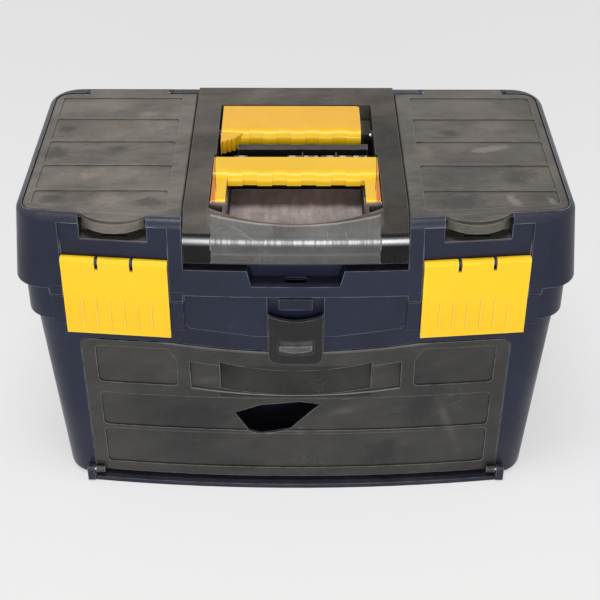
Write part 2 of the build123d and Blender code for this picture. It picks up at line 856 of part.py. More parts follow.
def tab_outline(side, bulge):
    """Plan outline of a flap's finger tab, curved at the front."""
    inner = side * tab_in
    outer = side * tab_out
    root = flap_front + tab_root
    with BuildSketch() as tab:
        with BuildLine():
            Polyline((inner, bowed(flap_front, inner)), (inner, bowed(root, inner)),
                     (outer, bowed(root, outer)), (outer, bowed(flap_front, outer)))
            ThreePointArc(
                (outer, bowed(flap_front, outer)),
                ((inner + outer) / 2, bowed(flap_front, (inner + outer) / 2) - bulge),
                (inner, bowed(flap_front, inner)),
            )
        make_face()
    return tab.sketch


def flap_block(side):
    """One flap with its sunk panels, finger tab and hinge barrel."""
    with BuildPart() as flap:
        add(flat_body(flap_outline(side, 0, 0), seat_top + flat_gap, lid_top))
        chamfer(flap.edges().group_by(Axis.Z)[-1], flap_edge_bevel)
        add(flat_body(tab_outline(side, tab_bulge), tab_low, lid_top - tab_step))
        add(flat_body(tab_outline(side, tab_bulge - tab_step), lid_top - tab_step, lid_top - tab_drop))
        for row in range(flap_panel_count - 1):
            near = flap_panel_first + row * flap_panel_pitch + flap_panel_rib / 2
            panel = flap_panel(side, near, near + flap_panel_pitch - flap_panel_rib)
            add(flat_body(panel, lid_top - flap_panel_depth, lid_top + over), mode=Mode.SUBTRACT)
        front_panel = front_flap_panel(side, flap_panel_first - flap_panel_rib / 2)
        add(flat_body(front_panel, lid_top - flap_panel_depth, lid_top + over), mode=Mode.SUBTRACT)
        ends = sorted((side * flap_barrel_in, side * flap_barrel_out))
        add(upright_block(ends[0], ends[1], flap_back - flap_web, flap_axis_y, seat_top + flat_gap, lid_top))
        add(rod(ends[0], ends[1], flap_axis_y, flap_axis_z, flap_barrel_r))
        add(rod(ends[0] - over, ends[1] + over, flap_axis_y, flap_axis_z, flap_pin_r + pin_gap),
            mode=Mode.SUBTRACT)
    return flap.part


with BuildPart() as left_flap:
    add(flap_block(-1))

with BuildPart() as right_flap:
    add(flap_block(1))

# Yellow latches
latch_side_points = [
    (0, latch_low), (latch_thick, latch_low), (latch_thick, latch_axis_z), (0, latch_axis_z),
]


def latch_body(side):
    """One latch: a plate with low ribs and a hinge barrel along its top."""
    base = latch_plane(side)
    end = base.from_local_coords((-latch_half, 0, 0))
    with BuildPart() as latch:
        with BuildSketch(Plane(origin=end, x_dir=base.y_dir, z_dir=base.x_dir)):
            add(side_face(latch_side_points))
            with Locations((latch_axis_y, latch_axis_z)):
                Circle(latch_barrel_r)
        extrude(amount=2 * latch_half)
        for rib in range(latch_rib_count):
            rib_x = (rib - (latch_rib_count - 1) / 2) * latch_rib_pitch
            add(latch_block(side, rib_x, latch_rib_width / 2, -latch_rib_deep, over,
                            latch_rib_low, latch_rib_high))
        for slit in (-1, 1):
            add(latch_block(side, slit * latch_slit_x, latch_slit_width / 2, -over, 3 * latch_barrel_r,
                            latch_slit_low, latch_axis_z + 2 * latch_barrel_r), mode=Mode.SUBTRACT)
        add(latch_rod(side, -latch_half - over, latch_half + over, latch_pin_r + pin_gap),
            mode=Mode.SUBTRACT)
    return latch.part


with BuildPart() as left_latch:
    add(latch_body(-1))

with BuildPart() as right_latch:
    add(latch_body(1))

# Door
def door_face(z):
    """Outer face of the door in the middle, at height z."""
    return wall_front(z) - door_proud


def door_slab(near, far):
    """Leaning, bowed slab between two depths behind the door's outer face."""
    profile = [
        (door_face(0) + near, 0), (door_face(0) + far, 0),
        (door_face(rim_low) + far, rim_low), (door_face(rim_low) + near, rim_low),
    ]
    return bowed_band(side_face(profile), -sill_half, sill_half)


def sunk_room(corners, rounding, depth):
    """Space sunk into the door to a depth, with the given outline on the front."""
    return door_slab(-wall, depth) & front_shape(corners, rounding, ahead, niche_back)


def pull_block(half, depth, near, grow):
    """Bowed wedge behind the pull: it starts near the door's face and deepens upwards to a depth."""
    low = pull_low - pull_low_dip - grow
    high = pull_high + grow
    profile = [
        (door_face(low) + near, low), (door_face(low) + pull_lip + grow, low),
        (door_face(high) + depth + grow, high), (door_face(high) + near, high),
    ]
    outline = smile_outline(half + grow, pull_low - grow, pull_low_dip, pull_high + grow, pull_high_dip)
    return bowed_band(side_face(profile), -sill_half, sill_half) & front_block(outline, ahead, niche_back)


door_outline = dipped_outline(door_half, door_low, door_top, door_corner)
break_outline = [
    (break_left, break_left_z), (break_shoulder, break_shoulder_z), (break_peak, break_peak_z),
    (break_tip, break_tip_z), (break_side, break_side_z), (break_bottom, break_bottom_z),
    (break_foot, break_foot_z),
]
with BuildPart() as door:
    add(door_slab(0, door_thick))
    add(front_block(door_outline, ahead, niche_back), mode=Mode.INTERSECT)
    for band_low, band_high in ((middle_band_low, middle_band_high), (lower_band_low, lower_band_high)):
        add(sunk_room(rectangle_corners(-panel_out, panel_out, band_low, band_high),
                      panel_round, panel_depth), mode=Mode.SUBTRACT)
    for side in (-1, 1):
        side_panel = [
            (side * side_panel_in, side_panel_low), (side * panel_out, side_panel_low),
            (side * panel_out, side_panel_high), (side * (side_panel_in + side_panel_cut), side_panel_high),
            (side * side_panel_in, side_panel_high - side_panel_cut_drop),
        ]
        add(sunk_room(side_panel, panel_round, panel_depth), mode=Mode.SUBTRACT)
    add(pull_block(pull_half, pull_depth, door_thick - over, door_thick))
    add(pull_block(slot_half, slot_depth, door_thick - over, door_thick))
    add(pull_block(pull_half, pull_depth, -wall, 0), mode=Mode.SUBTRACT)
    add(pull_block(slot_half, slot_depth, -wall, 0), mode=Mode.SUBTRACT)
    add(front_shape(break_outline, 0, ahead, niche_back), mode=Mode.SUBTRACT)
    for side in (-1, 1):
        ends = sorted((side * (door_half - door_knuckle_length), side * door_half))
        add(rod(ends[0], ends[1], door_axis_y, door_axis_z, door_knuckle_r))
        add(rod(ends[0] - over, ends[1] + over, door_axis_y, door_axis_z, door_pin_r + pin_gap),
            mode=Mode.SUBTRACT)

# Door latch
catch_side_points = [
    (catch_front, catch_low - catch_low_dip - over), (catch_back, catch_low - catch_low_dip - over),
    (catch_back, catch_step), (catch_upper_back, catch_step),
    (catch_upper_back, catch_top + over), (catch_front, catch_top + over),
]
catch_outline = smile_outline(catch_half, catch_low, catch_low_dip, catch_top, catch_smile, catch_round)
window_outline = smile_outline(window_half, window_low, window_low_dip, window_high, window_high_dip)
frame_outline = smile_outline(
    window_half + window_frame, window_low - window_frame, window_low_dip,
    window_high + window_frame, window_high_dip,
)
insert_outline = smile_outline(
    window_half - flat_gap, window_low + flat_gap, window_low_dip, insert_high, insert_high_dip,
)
with BuildPart() as door_latch:
    add(side_shape(catch_side_points, -catch_half - over, catch_half + over))
    add(front_block(catch_outline, ahead, niche_back), mode=Mode.INTERSECT)
    add(front_block(frame_outline, catch_front - over, catch_front + window_frame_depth), mode=Mode.SUBTRACT)
    add(front_block(window_outline, catch_front - over, catch_front + window_depth), mode=Mode.SUBTRACT)

with BuildPart() as door_latch_insert:
    add(front_block(insert_outline, catch_front + insert_sunk, catch_front + window_depth))

# Middle cover
cover_profile_points = [
    (lid_back, cover_skirt_low), (lid_back, lid_top), (cover_slope_back, lid_top),
    (cover_front, cover_slope_low), (cover_front, cover_nose_low),
    (ledge_back + wall, cover_nose_low), (ledge_back + wall, cover_skirt_low),
]


def cover_side(points, nose_r):
    """Side profile of the cover: its third point starts a slope down to the fourth, a rounded nose."""
    with BuildSketch() as profile:
        with BuildLine():
            Polyline(points, close=True)
        make_face()
        slope_start = profile.vertices().sort_by_distance(points[2])[0]
        fillet(slope_start, cover_slope_round)
        nose = profile.vertices().sort_by_distance(points[3])[0]
        fillet(nose, nose_r)
    return profile.sketch


cover_room_points = [
    (lid_back, cover_skirt_low - over), (lid_back, lid_top - cover_wall),
    (cover_slope_back, lid_top - cover_wall), (cover_front + cover_wall, cover_slope_low - cover_wall),
    (cover_front + cover_wall, cover_skirt_low - over),
]
cover_limit = upright_block(-cover_half, cover_half, lid_front, cover_back, 0, lid_top + over)
cover_room_limit = upright_block(
    -cover_half + cover_wall, cover_half - cover_wall, lid_front, cover_back - cover_wall,
    0, lid_top + over,
)
with BuildSketch() as scoop_plan:
    with BuildLine():
        Polyline((-scoop_half, scoop_side_front), (-scoop_half, front_well_back),
                 (scoop_half, front_well_back), (scoop_half, scoop_side_front))
        ThreePointArc((scoop_half, scoop_side_front), (0, scoop_front), (-scoop_half, scoop_side_front))
    make_face()
with BuildSketch() as scoop_side:
    with BuildLine():
        ThreePointArc((scoop_lip_y, scoop_lip), (scoop_middle_y, scoop_middle),
                      (scoop_floor_front, scoop_floor))
        Polyline((scoop_floor_front, scoop_floor), (front_well_back, scoop_floor),
                 (front_well_back, lid_top + over), (scoop_lip_y, lid_top + over),
                 (scoop_lip_y, scoop_lip))
    make_face()
with BuildPart() as scoop_body:
    with BuildSketch(Plane.YZ.offset(-scoop_half)):
        add(scoop_side.sketch)
    extrude(amount=2 * scoop_half)
    add(flat_body(scoop_plan.sketch, 0, 2 * lid_top), mode=Mode.INTERSECT)
scoop_room = scoop_body.part
with BuildSketch() as apron_outline:
    with BuildLine():
        ThreePointArc((-channel_half, apron_side), (0, apron_middle), (channel_half, apron_side))
        Polyline((channel_half, apron_side), (channel_half, lid_top + over),
                 (-channel_half, lid_top + over), (-channel_half, apron_side))
    make_face()
apron_room = front_block(apron_outline.sketch, ahead, channel_front + over)
cover_rooms = [
    upright_block(-channel_half, channel_half, channel_front, front_well_back, channel_floor, lid_top + over),
    upright_block(-pit_half, pit_half, front_well_back - over, pit_back, pit_floor, lid_top + over),
    upright_block(-pit_half, pit_half, pit_back - over, ledge_well_back, ledge_well_floor, lid_top + over),
]
cover_walls = [
    upright_block(-scoop_half - cover_wall, scoop_half + cover_wall, cover_front, front_well_back,
                  scoop_floor - cover_wall, lid_top),
    upright_block(-channel_half - cover_wall, channel_half + cover_wall, channel_front - cover_wall,
                  front_well_back + cover_wall, channel_floor - cover_wall, lid_top),
    upright_block(-pit_half - cover_wall, pit_half + cover_wall, front_well_back - cover_wall,
                  pit_back + cover_wall, pit_floor - cover_wall, lid_top),
    upright_block(-pit_half - cover_wall, pit_half + cover_wall, pit_back,
                  ledge_well_back + cover_wall, ledge_well_floor - cover_wall, lid_top),
]
with BuildPart() as centre_cover:
    add(bowed_band(cover_side(cover_profile_points, cover_nose_r), -cover_half, cover_half))
    add(cover_limit, mode=Mode.INTERSECT)
    cover_hollow = bowed_band(
        cover_side(cover_room_points, cover_nose_r - cover_wall), -cover_half, cover_half,
    ) & cover_room_limit
    for piece in cover_walls:
        cover_hollow = cover_hollow - piece
    add(cover_hollow, mode=Mode.SUBTRACT)
    add(scoop_room, mode=Mode.SUBTRACT)
    add(apron_room, mode=Mode.SUBTRACT)
    add(cover_rooms, mode=Mode.SUBTRACT)
    for side in (-1, 1):
        ends = sorted((side * (pit_half - rear_boss_stand), side * (pit_half + over)))
        add(rod(ends[0], ends[1], rear_axis_y, rear_axis_z, rear_boss_r))
        ends = sorted((side * (pit_half - rear_boss_stand - over), side * (pit_half + cover_wall + over)))
        add(rod(ends[0], ends[1], rear_axis_y, rear_axis_z, rear_pin_r + pin_gap), mode=Mode.SUBTRACT)
        ends = sorted((side * (channel_half - over), side * (channel_half + cover_wall + over)))
        add(rod(ends[0], ends[1], handle_axis_y, handle_axis_z, handle_pin_r + pin_gap),
            mode=Mode.SUBTRACT)

# Front handle
def grip_profile(front, back, low, round_front):
    """Side profile of a grip: flat top, large rounding at the front, small ones elsewhere."""
    with BuildSketch() as profile:
        with BuildLine():
            Polyline((front, low), (back, low), (back, handle_top), (front, handle_top), close=True)
        make_face()
        front_top = profile.vertices().sort_by_distance((front, handle_top))[0]
        fillet(front_top, round_front)
        others = profile.vertices().sort_by(Axis.X)[-2:]
        fillet(others, grip_edge_round)
    return profile.sketch


def wavy_grip(left, right, first_wave, profile):
    """Grip whose front and back step forward over every second stretch of its length."""
    with BuildPart() as grip:
        with BuildSketch(Plane.YZ.offset(left)):
            add(profile)
        extrude(amount=right - left)
        for wave in range(wave_count):
            wave_left = first_wave + wave * 2 * wave_width
            with BuildSketch(Plane.YZ.offset(wave_left)):
                with Locations((-wave_depth, 0)):
                    add(profile)
            extrude(amount=wave_width)
    return grip.part


front_grip = grip_profile(grip_front, grip_back, handle_bottom, grip_round)
with BuildPart() as front_handle:
    add(wavy_grip(-handle_half, handle_half, first_wave_x, front_grip))
    for side in (-1, 1):
        ends = sorted((side * (handle_half - handle_leg), side * handle_half))
        add(side_shape(
            [(handle_axis_y, handle_axis_z - handle_eye_r), (grip_front + grip_round, handle_bottom + over),
             (grip_front + grip_round, handle_leg_top), (handle_axis_y, handle_axis_z + handle_eye_r)],
            ends[0], ends[1]))
        add(rod(ends[0], ends[1], handle_axis_y, handle_axis_z, handle_eye_r))
        add(rod(ends[0] - over, ends[1] + over, handle_axis_y, handle_axis_z, handle_pin_r + pin_gap),
            mode=Mode.SUBTRACT)

# Rear handle
rear_grip = grip_profile(rear_front, rear_back, rear_bottom, grip_round)
torn_leg = [(rear_left, rear_front + torn_root)]
for tooth in range(torn_teeth):
    tooth_x = rear_left + tooth * torn_pitch
    tooth_y = rear_stub_front + tooth * torn_rise
    torn_leg.append((tooth_x, tooth_y))
    torn_leg.append((tooth_x + torn_peak * torn_pitch, tooth_y + torn_rise + torn_tooth))
torn_leg.append((rear_left + torn_shoulder, rear_front + over))
torn_leg.append((rear_left + torn_shoulder, rear_front + torn_root))
with BuildSketch() as torn_leg_plan:
    with BuildLine():
        Polyline(torn_leg, close=True)
    make_face()
with BuildPart() as rear_handle:
    add(wavy_grip(rear_left, rear_right, rear_first_wave_x, rear_grip))
    add(flat_body(torn_leg_plan.sketch, rear_axis_z - rear_eye_drop, handle_top - torn_leg_drop))
    add(rod(rear_left, rear_left + rear_leg, rear_axis_y, rear_axis_z, rear_eye_drop))
    add(rod(rear_left - over, rear_left + rear_leg + over, rear_axis_y, rear_axis_z, rear_pin_r + pin_gap),
        mode=Mode.SUBTRACT)

# Bit rack and bits
rack_points = [
    (rack_front, pit_floor + flat_gap), (rack_front, rack_shelf + rack_wall),
    (rack_front + rack_wall, rack_shelf + rack_wall), (rack_front + rack_wall, rack_shelf),
    (rack_bar_front, rack_shelf), (rack_bar_front, rack_bar_top), (rack_back, rack_bar_top),
    (rack_back, pit_floor + flat_gap), (rack_back - rack_wall, pit_floor + flat_gap),
    (rack_back - rack_wall, rack_shelf - rack_wall),
    (rack_front + rack_wall, rack_shelf - rack_wall),
    (rack_front + rack_wall, pit_floor + flat_gap),
]
rack_shelf_points = [
    (rack_front, pit_floor + flat_gap), (rack_front, rack_shelf + rack_wall),
    (rack_front + rack_wall, rack_shelf + rack_wall), (rack_front + rack_wall, rack_shelf),
    (rack_shelf_back, rack_shelf), (rack_shelf_back, rack_shelf - rack_wall),
    (rack_front + rack_wall, rack_shelf - rack_wall), (rack_front + rack_wall, pit_floor + flat_gap),
]
with BuildPart() as bit_rack:
    add(side_shape(rack_points, rack_left, rack_right))
    add(side_shape(rack_shelf_points, rack_shelf_left, rack_left + over))
    for bit_end in (long_bit_end, twist_bit_end):
        add(upright_block(bit_end + rack_divider_gap, bit_end + rack_divider_gap + rack_divider,
                          rack_front + rack_wall - over, rack_bar_front + over,
                          rack_shelf - over, rack_shelf + bit_across))

bit_z = rack_shelf + flat_gap + bit_across / 2


def driver_bit(start, end):
    """Steel driver bit lying along X: a six-sided shank at each end of a thinner round neck."""
    with BuildPart() as bit:
        for shank_from in (start, end - bit_shank):
            with BuildSketch(Plane.YZ.offset(shank_from)):
                with Locations((bit_y, bit_z)):
                    RegularPolygon(bit_across / 2, 6, major_radius=False)
            extrude(amount=bit_shank)
        add(rod(start + over, end - over, bit_y, bit_z, bit_neck_r))
    return bit.part


with BuildPart() as left_driver_bit:
    add(driver_bit(long_bit_start, long_bit_end))

with BuildPart() as middle_driver_bit:
    add(driver_bit(twist_bit_start, twist_bit_end))

with BuildPart() as right_driver_bit:
    add(driver_bit(short_bit_start, short_bit_end))

# Pins
with BuildPart() as left_lid_hinge_pin:
    add(rod(-hinge_x - hinge_half, -hinge_x + hinge_half, hinge_axis_y, hinge_axis_z, hinge_pin_r))

with BuildPart() as right_lid_hinge_pin:
    add(rod(hinge_x - hinge_half, hinge_x + hinge_half, hinge_axis_y, hinge_axis_z, hinge_pin_r))

flap_pin_in = flap_barrel_in - swing_gap - flap_lug
flap_pin_out = flap_barrel_out + swing_gap + flap_lug
with BuildPart() as left_flap_pin:
    add(rod(-flap_pin_out, -flap_pin_in, flap_axis_y, flap_axis_z, flap_pin_r))

with BuildPart() as right_flap_pin:
    add(rod(flap_pin_in, flap_pin_out, flap_axis_y, flap_axis_z, flap_pin_r))

with BuildPart() as left_latch_pin:
    add(latch_rod(-1, -latch_half + latch_pin_short, latch_half - latch_pin_short, latch_pin_r))

with BuildPart() as right_latch_pin:
    add(latch_rod(1, -latch_half + latch_pin_short, latch_half - latch_pin_short, latch_pin_r))

with BuildPart() as left_door_pin:
    add(rod(-sill_half, -door_half + door_knuckle_length, door_axis_y, door_axis_z, door_pin_r))

with BuildPart() as right_door_pin:
    add(rod(door_half - door_knuckle_length, sill_half, door_axis_y, door_axis_z, door_pin_r))

handle_pin_in = handle_half - handle_leg + handle_pin_short
with BuildPart() as left_handle_pin:
    add(rod(-channel_half - cover_wall, -handle_pin_in, handle_axis_y, handle_axis_z, handle_pin_r))

with BuildPart() as right_handle_pin:
    add(rod(handle_pin_in, channel_half + cover_wall, handle_axis_y, handle_axis_z, handle_pin_r))

with BuildPart() as rear_handle_pin:
    add(rod(-pit_half - cover_wall, rear_left + rear_leg - handle_pin_short, rear_axis_y, rear_axis_z,
            rear_pin_r))

with BuildPart() as bare_rear_pin:
    add(rod(pit_half - rear_boss_stand - bare_pin_stand, pit_half + cover_wall, rear_axis_y, rear_axis_z,
            rear_pin_r))

pieces = {
    "tub": tub,
    "lid": lid,
    "centre_cover": centre_cover,
    "left_flap": left_flap,
    "right_flap": right_flap,
    "left_latch": left_latch,
    "right_latch": right_latch,
    "door": door,
    "door_latch": door_latch,
    "door_latch_insert": door_latch_insert,
    "front_handle": front_handle,
    "rear_handle": rear_handle,
    "bit_rack": bit_rack,
    "left_driver_bit": left_driver_bit,
    "middle_driver_bit": middle_driver_bit,
    "right_driver_bit": right_driver_bit,
    "left_lid_hinge_pin": left_lid_hinge_pin,
    "right_lid_hinge_pin": right_lid_hinge_pin,
    "left_flap_pin": left_flap_pin,
    "right_flap_pin": right_flap_pin,
    "left_latch_pin": left_latch_pin,
    "right_latch_pin": right_latch_pin,
    "left_door_pin": left_door_pin,
    "right_door_pin": right_door_pin,
    "left_handle_pin": left_handle_pin,
    "right_handle_pin": right_handle_pin,
    "rear_handle_pin": rear_handle_pin,
    "bare_rear_pin": bare_rear_pin,
}
os.makedirs("parts", exist_ok=True)
for name, piece in pieces.items():
    piece.part.label = name
    export_step(piece.part, f"parts/{name}.step")
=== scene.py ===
"""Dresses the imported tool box: worn moulded plastics, a film over the cover's nose, camera and stage."""

import math

import bpy
import numpy as np
from bpy.props import FloatProperty, FloatVectorProperty, PointerProperty
from mathutils import Matrix, Vector


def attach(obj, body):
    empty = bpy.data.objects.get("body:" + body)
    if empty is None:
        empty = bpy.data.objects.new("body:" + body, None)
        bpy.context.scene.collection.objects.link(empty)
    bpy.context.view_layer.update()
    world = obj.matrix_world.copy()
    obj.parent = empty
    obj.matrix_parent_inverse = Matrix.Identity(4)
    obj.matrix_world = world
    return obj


bl_info = {
    "name": "Flap-top tool box",
    "version": (1, 0, 0),
    "blender": (4, 5, 0),
    "location": "View3D > Sidebar > Tool box",
    "description": "Finishes for a plastic tool box with flaps, side latches and a drop-down door",
    "category": "Object",
}

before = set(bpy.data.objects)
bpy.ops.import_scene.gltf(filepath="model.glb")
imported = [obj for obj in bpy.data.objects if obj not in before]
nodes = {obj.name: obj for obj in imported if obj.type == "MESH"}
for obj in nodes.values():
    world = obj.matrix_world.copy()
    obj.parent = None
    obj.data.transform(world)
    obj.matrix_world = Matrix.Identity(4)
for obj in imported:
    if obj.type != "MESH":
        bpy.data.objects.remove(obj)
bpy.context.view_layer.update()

# The front bows about an upright axis. These sizes are the frame's own, in metres.
BOW_AXIS_Y = 1.372
TOP = 0.288
SLOPE_BACK = -0.100       # where the cover's top begins to slope down
SLOPE_LEAN = 0.5          # drop for each metre forward
NOSE_R = 0.012
NOSE_FRONT = -0.127
NOSE_CORNER_Z = 0.2745    # where the slope would meet the upright front
APRON_MIDDLE = 0.2807
APRON_SIDE = 0.2851
APRON_HALF = 0.0706
COLUMN_X = (0.0979, 0.1981)
BLOCK_HALF = 0.0055       # half width of a rim block
BLOCK_LEVELS = (0.1835, 0.2122)
HANDLE_AXIS_Y = -0.079    # the front handle turns about this line
HANDLE_AXIS_Z = 0.2795
HANDLE_EYE_R = 0.0055
LEG_GAP = 0.0004          # between a well's lip and the leg's round end
LIP_FRONT = -0.0875
LIP_LEVELS = (0.2737, 0.2838)
LIP_SIDES = (0.0574, 0.0705)
NOSE_BAND = (0.2682, 0.2736, 0.0014)    # heights of the nose's polished band, and how softly it ends


def colour_property(name, text, default):
    """A colour setting shown as a swatch."""
    return FloatVectorProperty(
        name=name, description=text, default=default, subtype="COLOR", size=3, min=0, max=1
    )


def share_property(name, text, default):
    """A setting from nothing to all."""
    return FloatProperty(name=name, description=text, default=default, subtype="FACTOR", min=0, max=1)


def length_property(name, text, default):
    """A length in metres."""
    return FloatProperty(
        name=name, description=text, default=default, subtype="DISTANCE", unit="LENGTH", precision=4
    )


def angle_property(name, text, degrees):
    """An angle, given here in degrees."""
    return FloatProperty(name=name, description=text, default=math.radians(degrees), subtype="ANGLE")


def power_property(name, text, default):
    """A lamp's power."""
    return FloatProperty(name=name, description=text, default=default, min=0, unit="POWER")


class ShellSettings(bpy.types.PropertyGroup):
    """Colours and wear of the tub, the lid, the flaps and the cover."""

    navy: colour_property("Navy", "Plastic of the tub and the lid", (0.0145, 0.0185, 0.041))
    # Pale edges: rubbed wear and painted edge highlights
    navy_edge_and_highlight: colour_property("Navy edges", "Rubbed edges of the tub and the lid", (0.20, 0.21, 0.25))
    charcoal: colour_property("Charcoal", "Plastic of the two flaps", (0.062, 0.058, 0.052))
    black: colour_property("Black", "Plastic of cover, rack and door latch", (0.009, 0.009, 0.009))
    smear: colour_property("Smear", "Wiped-over dirt on the flaps and the cover", (0.200, 0.172, 0.138))
    dust: colour_property("Dust", "Dry dust lying on the plastic", (0.20, 0.175, 0.15))
    # Painted shade: this colour darkens corners and grooves, and draws the shadow under the door slot's roof
    grime: colour_property("Grime", "Dark dirt in corners and grooves", (0.008, 0.007, 0.006))
    dusting: share_property("Dusting", "How much dust lies on upward faces", 0.45)
    # This share also sets how strong the painted edge highlights are
    wear: share_property("Edge wear", "How pale the rubbed edges are", 0.7)
    block_depth: length_property("Rim block depth", "How far the blocks on the rim stand out", 0.002)


class DoorSettings(bpy.types.PropertyGroup):
    """Colours of the drop-down door and of its stains."""

    smoke: colour_property("Smoke", "Plastic of the door", (0.032, 0.030, 0.0285))
    stain: colour_property("Stain", "Dark stain on the door's face", (0.012, 0.012, 0.012))
    # Also the colour of the painted ridge highlight
    wipe: colour_property("Wipe", "Pale wiped streaks on the door", (0.068, 0.066, 0.063))
    # Also the colour of the painted highlights along the door's top edge and the slot's foot
    edge: colour_property("Door edges", "Rubbed edges of the door", (0.24, 0.24, 0.235))
    staining: share_property("Staining", "How strong the stains are", 0.75)


class TrimSettings(bpy.types.PropertyGroup):
    """Colours of the handles, the latches, the steel and the small parts."""

    yellow: colour_property("Yellow", "Plastic of the latches and the handles", (1.0, 0.612, 0.008))
    # Painted sheen: the paler, more orange yellow of the handles' tops, where they catch the light
    faded: colour_property("Faded yellow", "Sun-faded tops of the handles", (1.0, 0.52, 0.022))
    orange: colour_property("Orange", "Shaded sides and corners of the yellow parts", (0.80, 0.21, 0.006))
    steel: colour_property("Steel", "Driver bits and hinge pins", (0.62, 0.62, 0.63))
    dark_steel: colour_property("Dark steel", "Necks of the driver bits", (0.060, 0.058, 0.055))
    pale: colour_property("Pale grey", "Insert in the door latch", (0.085, 0.085, 0.085))


class FilmSettings(bpy.types.PropertyGroup):
    """The thin grey film stuck over the cover's nose."""

    grey: colour_property("Film", "Colour of the film", (0.088, 0.088, 0.087))
    half: length_property("Half width", "How far the film reaches each side of the middle", 0.0684)
    low: length_property("Lower edge", "Height of the film's lower edge", 0.2511)
    proud: length_property("Proud", "How far the film stands off the cover", 0.00025)
    thickness: length_property("Thickness", "Thickness of the film", 0.0003)


class StageSettings(bpy.types.PropertyGroup):
    """Camera, floor and light."""

    eye: FloatVectorProperty(
        name="Eye", description="Where the camera stands", default=(0.0017, -1.01808, 0.83448),
        subtype="TRANSLATION", unit="LENGTH", size=3,
    )
    pitch: angle_property("Pitch", "How far the camera looks down", 34.75)
    yaw: angle_property("Yaw", "How far the camera turns to the right", 0.12)
    roll: angle_property("Roll", "How far the camera leans", 0.13)
    lens: FloatProperty(
        name="Lens", description="Focal length on a 36 mm sensor", default=79.402, subtype="DISTANCE_CAMERA"
    )
    floor: colour_property("Floor", "Colour of the floor", (0.86, 0.86, 0.86))
    white: share_property("White", "How white the background shows", 0.94)
    sky: FloatProperty(name="Sky light", description="Even light from all round", default=0.35, min=0)
    key: power_property("Key light", "Power of the lamp overhead", 15)
    front: power_property("Front light", "Power of the lamp in front", 20)


class Wiring:
    """Adds nodes to a tree and joins them, so a recipe reads from top to bottom."""

    def __init__(self, tree):
        self.tree = tree

    def add(self, kind, inputs=(), **settings):
        """One node. inputs maps a socket's name or number to a value or to another node's output."""
        node = self.tree.nodes.new("ShaderNode" + kind)
        for name, value in settings.items():
            setattr(node, name, value)
        for name, value in dict(inputs).items():
            self.feed(node.inputs[name], value)
        return node

    def feed(self, socket, value):
        """Joins an output to the socket, or sets its value."""
        if isinstance(value, bpy.types.NodeSocket):
            self.tree.links.new(value, socket)
        else:
            socket.default_value = value

    def sum(self, operation, first, second=0.0, third=0.0, clamp=False):
        """A Math node's result."""
        numbers = {0: first, 1: second, 2: third}
        return self.add("Math", numbers, operation=operation, use_clamp=clamp).outputs[0]

    def product(self, *masks):
        """All the masks multiplied."""
        result = masks[0]
        for mask in masks[1:]:
            result = self.sum("MULTIPLY", result, mask)
        return result

    def step(self, value, low, high, to_low=0.0, to_high=1.0):
        """The value taken smoothly from low..high to to_low..to_high."""
        given = {"Value": value, "From Min": low, "From Max": high, "To Min": to_low, "To Max": to_high}
        return self.add("MapRange", given, interpolation_type="SMOOTHSTEP").outputs["Result"]

    def within(self, value, low, high, soft):
        """1 where the value lies between low and high, falling off over soft at each end."""
        rise = self.step(value, low - soft, low + soft)
        return self.product(rise, self.step(value, high + soft, high - soft))

    def room(self, *limits):
        """1 where several values all lie within their limits, each a value, low, high and soft."""
        return self.product(*[self.within(*limit) for limit in limits])

    def scaled(self, value, by, plus=0.0):
        """The value times by, plus plus."""
        return self.sum("MULTIPLY_ADD", value, by, plus)

    def mix(self, share, first, second):
        """A colour between first at 0 and second at 1."""
        return self.add("Mix", {0: share, 6: first, 7: second}, data_type="RGBA").outputs[2]

    def painted(self, base, *coats):
        """A base colour under coats laid one after the other, each a colour and the masks that limit it."""
        for colour, *masks in coats:
            base = self.mix(self.product(*masks), base, colour)
        return base

    def noise(self, vector, scale, detail=3.0, roughness=0.55):
        """Noise of that many lumps per metre."""
        given = {"Vector": vector, "Scale": scale, "Detail": detail, "Roughness": roughness}
        return self.add("TexNoise", given).outputs["Fac"]

    def drawn(self, vector, lengths, turn=(0, 0, 0), move=(0, 0, 0)):
        """The vector moved, turned and divided by lengths, so a pattern on it is drawn out along them."""
        given = {"Vector": vector, "Scale": lengths, "Rotation": turn, "Location": move}
        return self.add("Mapping", given, vector_type="TEXTURE").outputs["Vector"]

    def axes(self, vector):
        """The vector's three numbers, by name."""
        return self.add("SeparateXYZ", {0: vector}).outputs

    def blot(self, place, middle, half, turn=(0, 0, 0), ragged=0.6, soft=0.5):
        """A soft oval mark: the distance from its middle in half sizes, broken by noise and cut at 1."""
        oval = self.add("VectorMath", {0: self.drawn(place, half, turn, middle)}, operation="LENGTH")
        broken = self.sum("SUBTRACT", self.noise(place, 110.0, 4.0, 0.65), 0.5)
        edge = self.scaled(broken, ragged * 2, oval.outputs["Value"])
        return self.step(edge, 1.0, 1.0 - soft)

    def blots(self, place, marks, ragged=0.6, soft=0.5):
        """The strongest of several marks, each a middle, half sizes and a turn."""
        result = 0.0
        for mark in marks:
            result = self.sum("MAXIMUM", result, self.blot(place, *mark, ragged, soft))
        return result


def opaque(colour, share=1.0):
    """A colour with its fourth number, made darker by a share."""
    return (*[part * share for part in colour], 1.0)


def new_group(name, inputs, outputs):
    """An empty shader node group with its wiring, the sockets it is given and the sockets of its result.

    It is given a Vector and the inputs, each with its default: one number, or three for a vector."""
    group = bpy.data.node_groups.new(name, "ShaderNodeTree")
    for socket, default in {"Vector": (0.0, 0.0, 0.0), **inputs}.items():
        kind = "NodeSocketVector" if isinstance(default, tuple) else "NodeSocketFloat"
        group.interface.new_socket(name=socket, in_out="INPUT", socket_type=kind).default_value = default
    for socket in outputs:
        group.interface.new_socket(name=socket, in_out="OUTPUT", socket_type="NodeSocketFloat")
    start = group.nodes.new("NodeGroupInput")
    end = group.nodes.new("NodeGroupOutput")
    return Wiring(group), start.outputs, end.inputs


